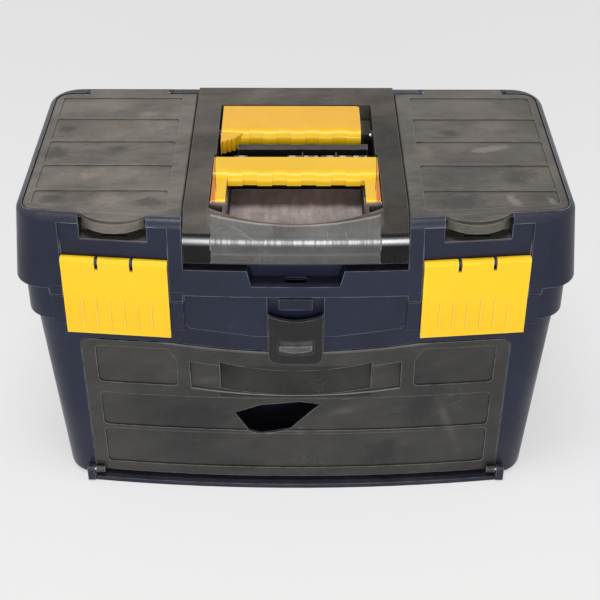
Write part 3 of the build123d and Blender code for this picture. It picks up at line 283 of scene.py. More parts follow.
def moulded_grain():
    """A moulded surface. Height is noise about a millimetre across; Tone is slow, cloudy colour change."""
    wiring, given, result = new_group("Moulded grain", {"Grain": 1100.0, "Clouds": 16.0}, ["Height", "Tone"])
    wiring.feed(result["Height"], wiring.noise(given["Vector"], given["Grain"], 2.0))
    wiring.feed(result["Tone"], wiring.noise(given["Vector"], given["Clouds"], 5.0, 0.65))
    return wiring.tree


def edge_wear_and_highlight():
    """Rubbed edges, also painted edge highlights: the solid is thin within Width under a ridge, so inside
    occlusion finds it.
    """
    wiring, given, result = new_group("Edge wear", {"Width": 0.0011, "Breaks": 90.0}, ["Mask"])
    width = {"Distance": given["Width"]}
    thin = wiring.add("AmbientOcclusion", width, samples=8, inside=True, only_local=True).outputs["AO"]
    ridge = wiring.step(thin, 0.86, 0.56)
    broken = wiring.step(wiring.noise(given["Vector"], given["Breaks"], 4.0), 0.32, 0.58, 0.30, 1.0)
    wiring.feed(result["Mask"], wiring.product(ridge, broken))
    return wiring.tree


def corner_shade():
    """Painted shade in corners: Shade is how closed a spot is within Reach, made uneven by noise."""
    wiring, given, result = new_group("Corner grime", {"Reach": 0.003}, ["Shade"])
    closed = wiring.add("AmbientOcclusion", {"Distance": given["Reach"]}, samples=6).outputs["AO"]
    uneven = wiring.step(wiring.noise(given["Vector"], 140.0, 4.0, 0.6), 0.3, 0.7, 0.55, 1.0)
    wiring.feed(result["Shade"], wiring.product(wiring.step(closed, 0.92, 0.35), uneven))
    return wiring.tree


def settled_dust():
    """Dust: it lies where the object's normal points up, and noise at two sizes breaks it into patches."""
    wiring, given, result = new_group("Settled dust", {"Patches": 22.0, "Cover": 0.5}, ["Mask"])
    normal = wiring.add("TexCoord").outputs["Normal"]
    lying = wiring.step(wiring.axes(normal)["Z"], 0.15, 0.95)
    patches = wiring.step(wiring.noise(given["Vector"], given["Patches"], 6.0, 0.68), 0.34, 0.70)
    specks = wiring.step(wiring.noise(given["Vector"], 620.0, 2.0), 0.40, 0.72, 0.7, 1.3)
    spread = wiring.product(lying, wiring.scaled(patches, 0.6, 0.4), given["Cover"])
    wiring.feed(result["Mask"], wiring.sum("MULTIPLY", spread, specks, clamp=True))
    return wiring.tree


def fine_scratches():
    """Scratches: noise drawn out along one direction and cut to thin lines, in two directions."""
    wiring, given, result = new_group("Fine scratches", {"Fineness": 260.0}, ["Mask"])
    lines = []
    for turn in ((0.2, 0.1, 0.4), (0.5, -0.3, -1.1)):
        drawn = wiring.drawn(given["Vector"], (30.0, 1.0, 1.0), turn)
        band = wiring.noise(drawn, given["Fineness"], 2.0)
        off = wiring.sum("ABSOLUTE", wiring.sum("SUBTRACT", band, 0.5))
        lines.append(wiring.step(off, 0.012, 0.0))
    both = wiring.sum("MAXIMUM", lines[0], lines[1])
    sparse = wiring.step(wiring.noise(given["Vector"], 26.0, 3.0), 0.54, 0.72)
    wiring.feed(result["Mask"], wiring.product(both, sparse))
    return wiring.tree


def wiped_smears():
    """Smears of a wiping hand: noise drawn out along Turn, coarse for strokes, fine for streaks in them."""
    wiring, given, result = new_group("Wiped smears", {"Turn": (0.0, 0.0, 0.3), "Strokes": 34.0}, ["Mask"])
    drawn = wiring.drawn(given["Vector"], (3.2, 1.0, 1.0), given["Turn"])
    strokes = wiring.step(wiring.noise(drawn, given["Strokes"], 6.0, 0.66), 0.40, 0.64)
    thin = wiring.drawn(given["Vector"], (14.0, 1.0, 1.0), given["Turn"])
    streaks = wiring.step(wiring.noise(thin, 210.0, 3.0, 0.6), 0.35, 0.70)
    wiring.feed(result["Mask"], wiring.scaled(strokes, 0.75, wiring.product(strokes, streaks, 0.25)))
    return wiring.tree


GROUPS = {}


def shared(maker):
    """The node group that a maker builds, built once."""
    if maker.__name__ not in GROUPS:
        GROUPS[maker.__name__] = maker()
    return GROUPS[maker.__name__]


def place_group(wiring, maker, place, **inputs):
    """The outputs of a copy of a shared group, placed in a material with its own values."""
    return wiring.add("Group", {"Vector": place, **inputs}, node_tree=shared(maker)).outputs


def smears(wiring, place, turn, strokes=34.0):
    """The shared smears, drawn out along turn, with that many strokes per metre."""
    return place_group(wiring, wiped_smears, place, Turn=turn, Strokes=strokes)["Mask"]


def new_material(name):
    """A material with only a Principled shader, its wiring and the object's own coordinates."""
    material = bpy.data.materials.new(name)
    material.use_nodes = True
    tree = material.node_tree
    tree.nodes.clear()
    wiring = Wiring(tree)
    shader = wiring.add("BsdfPrincipled")
    output = wiring.add("OutputMaterial")
    tree.links.new(shader.outputs[0], output.inputs[0])
    place = wiring.add("TexCoord").outputs["Object"]
    return material, wiring, shader, place


def weather(wiring, shader, place, base, look, pale, cover=0.3, wear=0.6, roughness=0.45,
            clouds=0.3, scratched=0.3, grime=0.8, grain=0.12, reach=0.003, shine=0.4):
    """Ages a base colour: clouds, painted shade in corners, scratches, dust, and rubbed edges that are also
    painted edge highlights. Gives back the bump.
    """
    shader.inputs["Specular IOR Level"].default_value = shine
    cast = place_group(wiring, moulded_grain, place)
    worn = place_group(wiring, edge_wear_and_highlight, place)["Mask"]
    lines = place_group(wiring, fine_scratches, place)["Mask"]
    corner = place_group(wiring, corner_shade, place, Reach=reach)["Shade"]
    settled = place_group(wiring, settled_dust, place, Cover=cover)["Mask"]
    # painted shade in corners, and pale edges that are both wear and painted edge highlights
    aged = wiring.painted(
        base, ((0.0, 0.0, 0.0, 1.0), wiring.step(cast["Tone"], 0.35, 0.68, 0.0, clouds)),
        (opaque(look.grime), corner, grime), (opaque(pale), lines, scratched),
        (opaque(look.dust), settled), (opaque(pale), worn, wear),
    )
    wiring.feed(shader.inputs["Base Color"], aged)
    uneven = wiring.step(cast["Tone"], 0.25, 0.75, -0.07, 0.09)
    matt = wiring.sum("ADD", uneven, roughness)
    dull = wiring.sum("MAXIMUM", matt, wiring.scaled(settled, 0.6, 0.25))
    wiring.feed(shader.inputs["Roughness"], wiring.sum("MINIMUM", dull, 1.0))
    bump = wiring.add("Bump", {"Strength": grain, "Distance": 0.0004, "Height": cast["Height"]})
    wiring.feed(shader.inputs["Normal"], bump.outputs[0])
    return bump


def bow_front(wiring, place):
    """How far forward a point lies without the bow: Y less the square of X over twice the bow's radius."""
    axes = wiring.axes(place)
    bow = wiring.product(axes["X"], axes["X"], 0.5 / (BOW_AXIS_Y - NOSE_FRONT))
    return wiring.sum("SUBTRACT", axes["Y"], bow)


def polish_nose(wiring, shader, place, share, bend):
    """A smooth coat with that index of refraction on the nose's rounding, at a share of its full weight."""
    band = wiring.within(wiring.axes(place)["Z"], *NOSE_BAND)
    wiring.feed(shader.inputs["Coat Weight"], wiring.product(band, share))
    shader.inputs["Coat Roughness"].default_value = 0.26
    shader.inputs["Coat IOR"].default_value = bend


def dress(names, material):
    """Gives CAD nodes a material in place of their plain one."""
    for name in names:
        for slot in nodes[name].material_slots:
            slot.material = material


def bowed_y(front, across):
    """Y of surfaces that stand at front in the middle, at distances across: a circle about the bow's axis."""
    reach = BOW_AXIS_Y - front
    return BOW_AXIS_Y - np.sqrt(reach**2 - across**2)


def add_piece(name, points, faces, body, material, smooth=True):
    """A mesh object from points and faces that rides on a body and takes its finish from a slot."""
    mesh = bpy.data.meshes.new(name)
    mesh.from_pydata(points.tolist(), [], faces)
    mesh.validate()
    mesh.polygons.foreach_set("use_smooth", np.full(len(mesh.polygons), smooth))
    piece = bpy.data.objects.new(name, mesh)
    bpy.context.scene.collection.objects.link(piece)
    mesh.materials.append(material)
    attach(piece, body)
    return piece


def grid_faces(rows, columns):
    """Faces of a grid of rows by columns points, each from a point to its right, upper right and upper."""
    index = np.arange(rows * columns).reshape(rows, columns)
    corners = [index[:-1, :-1], index[:-1, 1:], index[1:, 1:], index[1:, :-1]]
    return np.stack(corners, axis=-1).reshape(-1, 4).tolist()


def add_bar(name, rings, body, material):
    """A straight bar from two rings of as many points: a band of four-sided faces, closed by the rings."""
    count = len(rings) // 2
    index = np.arange(count)
    after = np.roll(index, -1)
    band = np.stack([index, after, after + count, index + count], axis=1).tolist()
    ends = [index[::-1].tolist(), (index + count).tolist()]
    return add_piece(name, rings, band + ends, body, material, smooth=False)


class BOX_OT_finish_shell(bpy.types.Operator):
    """Finish the tub and the lid"""

    bl_idname = "toolbox.finish_shell"
    bl_label = "Finish tub and lid"

    def execute(self, context):
        look = context.scene.toolbox_shell
        material, wiring, shader, place = new_material("Navy plastic")
        axes = wiring.axes(place)
        side = wiring.sum("ABSOLUTE", axes["X"])
        low_dirt = wiring.step(axes["Z"], 0.09, 0.0)
        patches = wiring.step(wiring.noise(place, 30.0, 5.0, 0.7), 0.35, 0.65)
        recess = wiring.room(
            (side, 0.1195, 0.1745, 0.0003), (axes["Y"], -0.128, -0.098, 0.001),
            (axes["Z"], 0.2655, 0.2790, 0.0006),
        )
        sandy = wiring.painted(
            opaque(look.navy), (opaque(look.dust, 0.4), low_dirt, patches, 0.25),
            (opaque(look.smear, 0.75), recess, 0.50),
        )
        weather(wiring, shader, place, sandy, look, look.navy_edge_and_highlight, look.dusting * 0.35, look.wear, 0.34,
                clouds=0.30, scratched=0.2, grime=0.85, shine=0.25)
        dress(["tub", "lid"], material)
        return {"FINISHED"}


class BOX_OT_make_rim_blocks(bpy.types.Operator):
    """Make the four small blocks under the lid's columns, against the tub's front"""

    bl_idname = "toolbox.make_rim_blocks"
    bl_label = "Make rim blocks"

    def execute(self, context):
        look = context.scene.toolbox_shell
        navy = bpy.data.materials["Navy plastic"]
        for middle in (-COLUMN_X[1], -COLUMN_X[0], COLUMN_X[0], COLUMN_X[1]):
            side = "left" if middle < 0 else "right"
            end = "outer" if abs(middle) > 0.15 else "inner"
            piece = rim_block(f"{side}_{end}_rim_block", middle, look.block_depth, navy)
            bevel = piece.modifiers.new("Edges", "BEVEL")
            bevel.width = 0.0006
            bevel.segments = 2
            bevel.limit_method = "ANGLE"
        return {"FINISHED"}


def rim_block(name, middle, depth, material):
    """A block whose front follows the bow at depth before the wall, and whose back sinks into it.

    Both faces are y(x) on the bow's circle, sampled at seven places across."""
    across = middle + np.linspace(-BLOCK_HALF, BLOCK_HALF, 7)
    outline_x = np.concatenate([across, across[::-1]])
    outline_y = np.concatenate([bowed_y(-0.126 - depth, across), bowed_y(-0.122, across[::-1])])
    levels = np.repeat(BLOCK_LEVELS, outline_x.size)
    rings = np.stack([np.tile(outline_x, 2), np.tile(outline_y, 2), levels], axis=1)
    return add_bar(name, rings, "tub", material)


class BOX_OT_finish_flaps(bpy.types.Operator):
    """Finish the two dusty flaps, each with its own smears"""

    bl_idname = "toolbox.finish_flaps"
    bl_label = "Finish flaps"

    def execute(self, context):
        look = context.scene.toolbox_shell
        # The left flap is painted lighter than the right: painted light falling from the left
        dusty_flap("left_flap", look, LEFT_MARKS, 1.08)
        dusty_flap("right_flap", look, RIGHT_MARKS, 0.72)
        return {"FINISHED"}


def flat_mark(low_x, high_x, low_y, high_y, turn=0.3):
    """An oval mark between those millimetres on a face that looks up."""
    middle = ((low_x + high_x) / 2000, (low_y + high_y) / 2000, 0.28)
    return middle, ((high_x - low_x) / 2000, (high_y - low_y) / 2000, 1.0), (0, 0, turn)


LEFT_MARKS = {
    "brown": [
        flat_mark(-200, -100, 18, 58), flat_mark(-172, -136, -97, -74), flat_mark(-205, -106, -66, -26),
    ],
    "dark": [
        flat_mark(-216, -192, 26, 49), flat_mark(-172, -140, -9, 9), flat_mark(-220, -192, -22, 9),
        flat_mark(-212, -186, -94, -74), flat_mark(-136, -102, -100, -79),
    ],
    "light": [flat_mark(-150, -120, 60, 74), flat_mark(-190, -160, -52, -40)],
}
RIGHT_MARKS = {
    "brown": [flat_mark(104, 121, -19, 14), flat_mark(150, 205, 30, 60)],
    "dark": [flat_mark(166, 211, -61, -33), flat_mark(106, 162, -104, -73), flat_mark(125, 150, 20, 40)],
    "light": [flat_mark(172, 184, -99, -74), flat_mark(205, 213, -97, -77), flat_mark(140, 190, -6, 8)],
}


def dusty_flap(name, look, marks, share):
    """Plastic wiped over with dirty hands: smears first, then the flap's own brown, dark and light marks.

    share scales the flap's colours, painted lighter on the left flap than on the right, and they grow darker
    from back to front: painted light falling from the left and the back. The marks lie on its top."""
    material, wiring, shader, place = new_material("Dusty flap, " + name.replace("_", " "))
    back_sheen = wiring.step(wiring.axes(place)["Y"], -0.12, 0.13, 0.0, 0.30)
    top = wiring.step(wiring.axes(wiring.add("TexCoord").outputs["Normal"])["Z"], 0.2, 0.6)
    brown, dark, light = (wiring.blots(place, marks[tone], 0.9, 0.7) for tone in ("brown", "dark", "light"))
    marked = wiring.painted(
        opaque(look.charcoal, share), (opaque(look.smear, share), back_sheen),
        (opaque(look.smear, share), smears(wiring, place, (0.0, 0.0, 0.30)), 0.70),
        (opaque(look.dust, share), smears(wiring, place, (0.0, 0.0, -0.22), 85.0), 0.45),
        (opaque(look.smear, share * 1.1), brown, top, 0.6),
        (opaque(look.charcoal, share * 0.55), dark, top, 0.9), (opaque(look.dust, 1.6), light, top, 0.5),
    )
    weather(wiring, shader, place, marked, look, (0.27, 0.26, 0.25), look.dusting * 0.35, look.wear, 0.46,
            clouds=0.35, scratched=0.4, grime=0.95, grain=0.2)
    dress([name], material)


class BOX_OT_finish_cover(bpy.types.Operator):
    """Finish the black cover between the flaps, dusty on top, polished over its nose, and painted lighter in
    the back of its scoop
    """

    bl_idname = "toolbox.finish_cover"
    bl_label = "Finish cover"

    def execute(self, context):
        look = context.scene.toolbox_shell
        material, wiring, shader, place = new_material("Dusty black cover")
        axes = wiring.axes(place)
        front = bow_front(wiring, place)
        side = wiring.sum("ABSOLUTE", axes["X"])
        wiped = smears(wiring, place, (0.0, 0.0, 0.25))
        streaked = smears(wiring, place, (0.0, 0.0, 1.57), 130.0)
        nose = wiring.step(front, SLOPE_BACK - 0.0219, SLOPE_BACK - 0.0229)
        bare = wiring.sum("SUBTRACT", 1.0, nose)
        leftward = wiring.step(axes["X"], 0.095, -0.080, 0.22, 0.85)
        backward = wiring.step(axes["Y"], 0.0, 0.12, 0.0, 0.70)
        across = wiring.sum("ADD", leftward, backward)
        topside = wiring.product(wiring.step(axes["Z"], 0.262, 0.279), bare, across)
        apron = wiring.room(
            (side, -0.01, APRON_HALF, 0.001), (front, -0.120, -0.080, 0.001),
            (axes["Z"], 0.2795, 0.2866, 0.0007),
        )
        scoop = wiring.room(
            (side, -0.01, 0.0565, 0.0006), (front, -0.119, -0.008, 0.002), (axes["Z"], 0.2525, 0.2797, 0.0008)
        )
        well = wiring.room(
            (side, 0.0570, 0.0712, 0.0005), (front, -0.0895, -0.060, 0.001), (axes["Z"], 0.270, 0.283, 0.0006)
        )
        ledge = wiring.room(
            (axes["X"], 0.028, 0.062, 0.001), (axes["Y"], 0.018, 0.094, 0.001),
            (axes["Z"], 0.250, 0.284, 0.0005),
        )
        # Dust in the scoop, with painted light: the floor is coloured lighter towards the back, where the
        # grip shades it
        scoop_dust_and_light = wiring.mix(
            wiring.step(axes["Y"], -0.082, -0.055), opaque((0.34, 0.285, 0.275)), opaque((0.66, 0.575, 0.565))
        )
        rightward = wiring.step(axes["X"], 0.004, 0.035, 0.25, 1.0)
        specks = wiring.step(wiring.noise(place, 520.0, 3.0), 0.60, 0.68)
        scratch = wiring.within(axes["X"], 0.0028, 0.0038, 0.0004)
        painted = wiring.painted(
            opaque(look.black), (opaque(look.dust, 0.80), topside, wiring.scaled(wiped, 0.40, 0.45)),
            (opaque((0.175, 0.130, 0.105)), apron, wiring.scaled(streaked, 0.3, 0.35)),
            (scoop_dust_and_light, wiring.sum("MAXIMUM", scoop, well), wiring.scaled(streaked, 0.28, 0.66)),
            (opaque((0.45, 0.42, 0.40)), scoop, rightward, specks, 0.6),
            (opaque((0.40, 0.38, 0.36)), scoop, scratch, 0.35),
            (opaque((0.150, 0.135, 0.125)), ledge, wiring.scaled(wiped, 0.5, 0.4)),
        )
        # less painted corner shade in the scoop
        weather(
            wiring, shader, place, painted, look, (0.20, 0.195, 0.19),
            cover=wiring.product(bare, look.dusting * 0.4), wear=wiring.scaled(nose, -0.45, look.wear),
            roughness=wiring.scaled(nose, -0.34, 0.55), clouds=0.35, scratched=0.35,
            grime=wiring.scaled(scoop, -0.55, 0.8), shine=0.15,
        )
        polish_nose(wiring, shader, place, nose, 2.3)
        dress(["centre_cover"], material)
        return {"FINISHED"}


class BOX_OT_make_well_lips(bpy.types.Operator):
    """Make the two small lips in front of the front handle's legs"""

    bl_idname = "toolbox.make_well_lips"
    bl_label = "Make well lips"

    def execute(self, context):
        look = context.scene.toolbox_shell
        material, wiring, shader, place = new_material("Dusty black plastic, painted lighter")
        # Painted light: the lips are coloured a pale dusty brown, lighter than their dust alone, where the
        # handle's leg shades them
        streaked = wiring.scaled(smears(wiring, place, (0.0, 0.0, 1.2), 130.0), 0.4, 0.5)
        base = wiring.mix(streaked, opaque(look.smear, 0.8), opaque((0.36, 0.29, 0.255)))
        weather(wiring, shader, place, base, look, (0.20, 0.195, 0.19), look.dusting * 0.3, 0.3, 0.55,
                grime=0.2, shine=0.3)
        low, high = LIP_SIDES
        well_lip("left_well_lip", (-low, -high), material)
        well_lip("right_well_lip", (high, low), material)
        return {"FINISHED"}


def well_lip(name, ends, material):
    """A bar across the front of a leg's well, carried along X from a side profile of front and height.

    Its back keeps a gap from the leg's round end: a circle of that much more than the end's radius about
    the handle's axis, and straight up above the axis, where the leg stands when the handle is raised."""
    radius = HANDLE_EYE_R + LEG_GAP
    angle = np.linspace(0.0, -0.95, 7)
    round_y = HANDLE_AXIS_Y - radius * np.cos(angle)
    round_z = HANDLE_AXIS_Z + radius * np.sin(angle)
    low, high = LIP_LEVELS
    outline_y = np.concatenate([round_y[:1], round_y, round_y[-1:], [LIP_FRONT, LIP_FRONT]])
    outline_z = np.concatenate([[high], round_z, [low, low, high]])
    across = np.repeat(ends, outline_y.size)
    rings = np.stack([across, np.tile(outline_y, 2), np.tile(outline_z, 2)], axis=1)
    add_bar(name, rings, "lid", material)


class BOX_OT_make_nose_film(bpy.types.Operator):
    """Make the thin grey film over the cover's nose"""

    bl_idname = "toolbox.make_nose_film"
    bl_label = "Make nose film"

    def execute(self, context):
        look = context.scene.toolbox_film
        shell = context.scene.toolbox_shell
        columns = 141
        across = np.linspace(-look.half, look.half, columns)
        outward, height = nose_profile(across, look)
        rows = outward.shape[0]
        slack = 0.0004 * np.sin(height * 310.0) + 0.0003 * np.sin(height * 880.0 + 1.0)
        spread = across + slack * np.sign(across) * (np.abs(across) / look.half) ** 8
        points = np.stack([spread, bowed_y(outward, spread), height], axis=2).reshape(-1, 3)
        faces = grid_faces(rows, columns)
        piece = add_piece("nose_film", points, faces, "lid", film_material(look, shell))
        solid = piece.modifiers.new("Thickness", "SOLIDIFY")
        solid.thickness = look.thickness
        solid.offset = -1.0    # on the side away from the normals
        return {"FINISHED"}


def nose_profile(across, look):
    """The nose's side view at each place across, as rows of front and height, set off by proud.

    It runs up the upright face, round the rounding at constant radius, and up the slope to the scoop's lip,
    whose height rises with the square of the distance from the middle."""
    lean = math.atan(SLOPE_LEAN)
    half_turn = (math.pi / 2 - lean) / 2
    centre_y = NOSE_FRONT + NOSE_R
    centre_z = NOSE_CORNER_Z - NOSE_R * math.tan(half_turn)
    ring = NOSE_R + look.proud
    angle = np.linspace(0.0, 2 * half_turn, 13)
    front = np.concatenate([np.full(10, centre_y - ring), centre_y - ring * np.cos(angle)])
    wall_z = np.linspace(look.low, centre_z, 10, endpoint=False)
    height = np.concatenate([wall_z, centre_z + ring * np.sin(angle)])
    lip_z = APRON_MIDDLE + (APRON_SIDE - APRON_MIDDLE) * (across / APRON_HALF) ** 2
    lip_y = SLOPE_BACK - (TOP - lip_z) / SLOPE_LEAN
    share = np.linspace(0.0, 1.0, 13)[1:, None]
    slope_y = front[-1] + share * (lip_y - look.proud * math.sin(lean) - front[-1])
    slope_z = height[-1] + share * (lip_z + look.proud * math.cos(lean) - height[-1])
    ones = np.ones_like(across)
    return np.concatenate([front[:, None] * ones, slope_y]), np.concatenate([height[:, None] * ones, slope_z])


FILM_CREASES = [
    ((-0.0613, -0.1174, 0.2787), (0.0052, 0.0007, 1.0), (0, 0, 0.32)),
    ((-0.0476, -0.1177, 0.2788), (0.0135, 0.0007, 1.0), (0, 0, -0.51)),
    ((-0.0376, -0.1240, 0.2758), (0.0125, 0.0007, 1.0), (0, 0, -0.31)),
    ((0.0250, -0.1220, 0.2769), (0.0050, 0.0007, 1.0), (0, 0, -1.40)),
    ((0.0404, -0.1226, 0.2765), (0.0034, 0.0007, 1.0), (0, 0, -1.17)),
]


def film_material(look, shell):
    """Scuffed grey film: wiped tone, painted shade on its lower part, creases, a worn pale lip, a dark square
    patch and fine upright ticks.
    """
    material, wiring, shader, place = new_material("Grey film")
    axes = wiring.axes(place)
    wiped = smears(wiring, place, (0.0, 0.0, 0.1), 60.0)
    # Painted shade: the film is darker on its lower, forward-facing part
    lower = wiring.step(axes["Z"], 0.2745, 0.266)
    patch = wiring.room((axes["X"], -0.0189, -0.0109, 0.0004), (axes["Y"], -0.1242, -0.1142, 0.0004))
    folded = wiring.blots(place, FILM_CREASES, 0.08, 0.8)
    low_line = wiring.within(axes["Z"], 0.2590, 0.2612, 0.0008)
    side = wiring.sum("ABSOLUTE", axes["X"])
    ends = wiring.within(side, look.half - 0.0007, look.half + 0.001, 0.0003)
    arch = wiring.product(side, side, (APRON_SIDE - APRON_MIDDLE) / APRON_HALF**2)
    below = wiring.sum("SUBTRACT", axes["Z"], wiring.sum("ADD", arch, APRON_MIDDLE))
    torn = wiring.scaled(wiring.noise(place, 260.0, 3.0), 0.0010, -0.0011)
    lip = wiring.step(wiring.sum("SUBTRACT", below, torn), -0.0002, 0.0002)
    painted = wiring.painted(
        opaque(look.grey), (opaque(look.grey, 0.55), lower, 0.45), (opaque(look.grey, 1.45), wiped, 0.45),
        (opaque(look.grey, 0.4), patch, 0.30), (opaque((0.38, 0.38, 0.37)), folded, 0.35),
        (opaque((0.38, 0.38, 0.38)), low_line, 0.16), (opaque((0.30, 0.30, 0.29)), ends, 0.45),
        (opaque((0.36, 0.32, 0.28)), lip, wiring.step(axes["Z"], 0.2755, 0.2785), 0.75),
    )
    matt = wiring.step(axes["Z"], 0.2735, 0.2744, 0.24, 0.60)
    bump = weather(wiring, shader, place, painted, shell, (0.40, 0.39, 0.37), shell.dusting * 0.2, 0.0, matt,
                   clouds=0.35, scratched=0.5, grime=0.5, grain=0.1, reach=0.002, shine=0.5)
    ticks = wiring.step(wiring.noise(wiring.drawn(place, (1.0, 60.0, 60.0)), 300.0, 2.0), 0.35, 0.65)
    raised = wiring.scaled(folded, 0.8, ticks)
    rough = wiring.add(
        "Bump", {"Strength": 0.55, "Distance": 0.0005, "Height": raised, "Normal": bump.outputs[0]}
    )
    wiring.feed(shader.inputs["Normal"], rough.outputs[0])
    level = wiring.sum("ABSOLUTE", wiring.scaled(ticks, 2.0, -1.0))    # 0 on the ticks' flanks: less shine
    polish_nose(wiring, shader, place, wiring.scaled(level, 0.6, 0.22), 1.9)
    return material


class BOX_OT_finish_door(bpy.types.Operator):
    """Finish the smoked door with its stains, painted highlights along its edges and ridge, and painted shade
    in its slot
    """

    bl_idname = "toolbox.finish_door"
    bl_label = "Finish door"

    def execute(self, context):
        look = context.scene.toolbox_door
        shell = context.scene.toolbox_shell
        material, wiring, shader, place = new_material("Smoked plastic")
        axes = wiring.axes(place)
        front = bow_front(wiring, place)
        outer = wiring.step(front, -0.106, -0.114)
        wiped = smears(wiring, place, (0.0, -0.35, 0.0), 26.0)
        dark = wiring.blots(place, DOOR_DARK, 0.8, 0.6)
        # pale wipes and the painted ridge highlight
        pale = wiring.blots(place, DOOR_PALE_AND_HIGHLIGHTS, 0.5, 0.9)
        hairline = wiring.blots(place, DOOR_HAIRLINES, 0.05, 0.9)
        squared = wiring.product(axes["X"], axes["X"])
        top, roof, foot = (
            wiring.sum("SUBTRACT", axes["Z"], wiring.scaled(squared, rise / half**2, middle))
            for rise, half, middle in DOOR_ARCHES
        )
        # Painted highlight: a pale line along the door's top edge
        rim = wiring.within(top, -0.0022, 0.0010, 0.0006)
        slot = wiring.product(
            wiring.room((axes["X"], -0.0652, 0.0652, 0.0004), (axes["Z"], 0.108, 0.144, 0.001)),
            wiring.step(front, -0.1262, -0.1250),
        )
        # Painted highlight: a pale line along the foot of the pull's slot
        foot_highlight = wiring.room((foot, -0.0010, 0.0001, 0.0003), (axes["X"], -0.0905, 0.0905, 0.0005))
        painted = wiring.painted(
            opaque(look.smoke, 0.88), (opaque(look.wipe), wiped, 0.40),
            (opaque(look.stain), dark, outer, look.staining), (opaque(look.wipe, 1.4), pale, outer, 0.5),
            (opaque(look.smoke, 0.35), wiring.sum("SUBTRACT", 1.0, outer)),
            (opaque(look.edge), hairline, outer, 0.5), (opaque(look.edge), rim, outer, 0.35),
            # Painted shade in the pull's slot, and a painted shadow under its roof
            (opaque(look.smoke, 0.35), slot, 0.75),
            (opaque(shell.grime, 0.3), slot, wiring.within(roof, -0.0045, 0.0010, 0.0004)),
            (opaque(look.edge), foot_highlight, outer, 0.8),
        )
        weather(wiring, shader, place, painted, shell, look.edge, shell.dusting * 0.25, shell.wear,
                wiring.scaled(slot, 0.45, 0.30), clouds=0.4, scratched=0.3, grime=0.9, grain=0.14, shine=0.42)
        dress(["door"], material)
        return {"FINISHED"}


def face_mark(low_x, high_x, low_z, high_z, turn=0.0):
    """An oval mark between those millimetres on a face that looks forwards."""
    middle = ((low_x + high_x) / 2000, -0.11, (low_z + high_z) / 2000)
    return middle, ((high_x - low_x) / 2000, 1.0, (high_z - low_z) / 2000), (0, turn, 0)


# The door's top edge, the roof of its slot and the slot's foot: rise at the side, half width, middle height
DOOR_ARCHES = ((0.0074, 0.105, 0.1594), (0.0087, 0.0905, 0.1385), (0.0066, 0.0905, 0.1107))
DOOR_DARK = [
    face_mark(98, 123, 70, 111), face_mark(-128, -50, 66, 101, -0.1), face_mark(100, 109, 123, 131),
    face_mark(-14, 15, 116, 128), face_mark(60, 96, 20, 60, 0.2), face_mark(-70, -20, 14, 34),
]
# Pale wipes, and a painted highlight along the ridge between the panels, brightest near the middle
DOOR_PALE_AND_HIGHLIGHTS = [
    ((0.1358, -0.11, 0.0698), (0.050, 1.0, 0.006), (0, 1.21, 0)), face_mark(-4, 12, 62, 74),
    face_mark(-60, 70, 66, 70), face_mark(-100, -60, 118, 130, -0.2), face_mark(20, 60, 84, 96, -0.3),
]
DOOR_HAIRLINES = [
    ((0.0461, -0.11, 0.1051), (0.0103, 1.0, 0.0007), (0, -0.21, 0)),
    ((0.0613, -0.11, 0.1088), (0.0054, 1.0, 0.0006), (0, -0.30, 0)),
    ((-0.030, -0.11, 0.088), (0.013, 1.0, 0.0004), (0, 0.35, 0)),
]


class BOX_OT_finish_door_latch(bpy.types.Operator):
    """Finish the black latch on the door and its grey insert"""

    bl_idname = "toolbox.finish_door_latch"
    bl_label = "Finish door latch"

    def execute(self, context):
        trim = context.scene.toolbox_trim
        shell = context.scene.toolbox_shell
        material, wiring, shader, place = new_material("Black latch plastic")
        weather(wiring, shader, place, opaque(shell.black, 1.2), shell, (0.16, 0.16, 0.16), 0.12, shell.wear,
                0.32, clouds=0.3, scratched=0.3, grime=0.9, shine=0.3)
        dress(["door_latch"], material)
        material, wiring, shader, place = new_material("Pale grey plastic")
        weather(wiring, shader, place, opaque(trim.pale), shell, (0.45, 0.45, 0.45), 0.10, 0.6, 0.42,
                clouds=0.35, scratched=0.4, grime=0.8)
        dress(["door_latch_insert"], material)
        return {"FINISHED"}


class BOX_OT_finish_latches(bpy.types.Operator):
    """Finish the two yellow side latches"""

    bl_idname = "toolbox.finish_latches"
    bl_label = "Finish side latches"

    def execute(self, context):
        look = context.scene.toolbox_trim
        shell = context.scene.toolbox_shell
        material, wiring, shader, place = new_material("Yellow latch plastic")
        axes = wiring.axes(place)
        low = wiring.step(axes["Z"], 0.225, 0.185)
        tone = wiring.painted(opaque(look.yellow), (opaque(look.yellow, 0.80), low, 0.3))
        weather(wiring, shader, place, tone, shell, (1.0, 0.82, 0.30), 0.04, 0.45, 0.30,
                clouds=0.05, scratched=0.25, grime=0.45, grain=0.05)
        dress(["left_latch", "right_latch"], material)
        return {"FINISHED"}


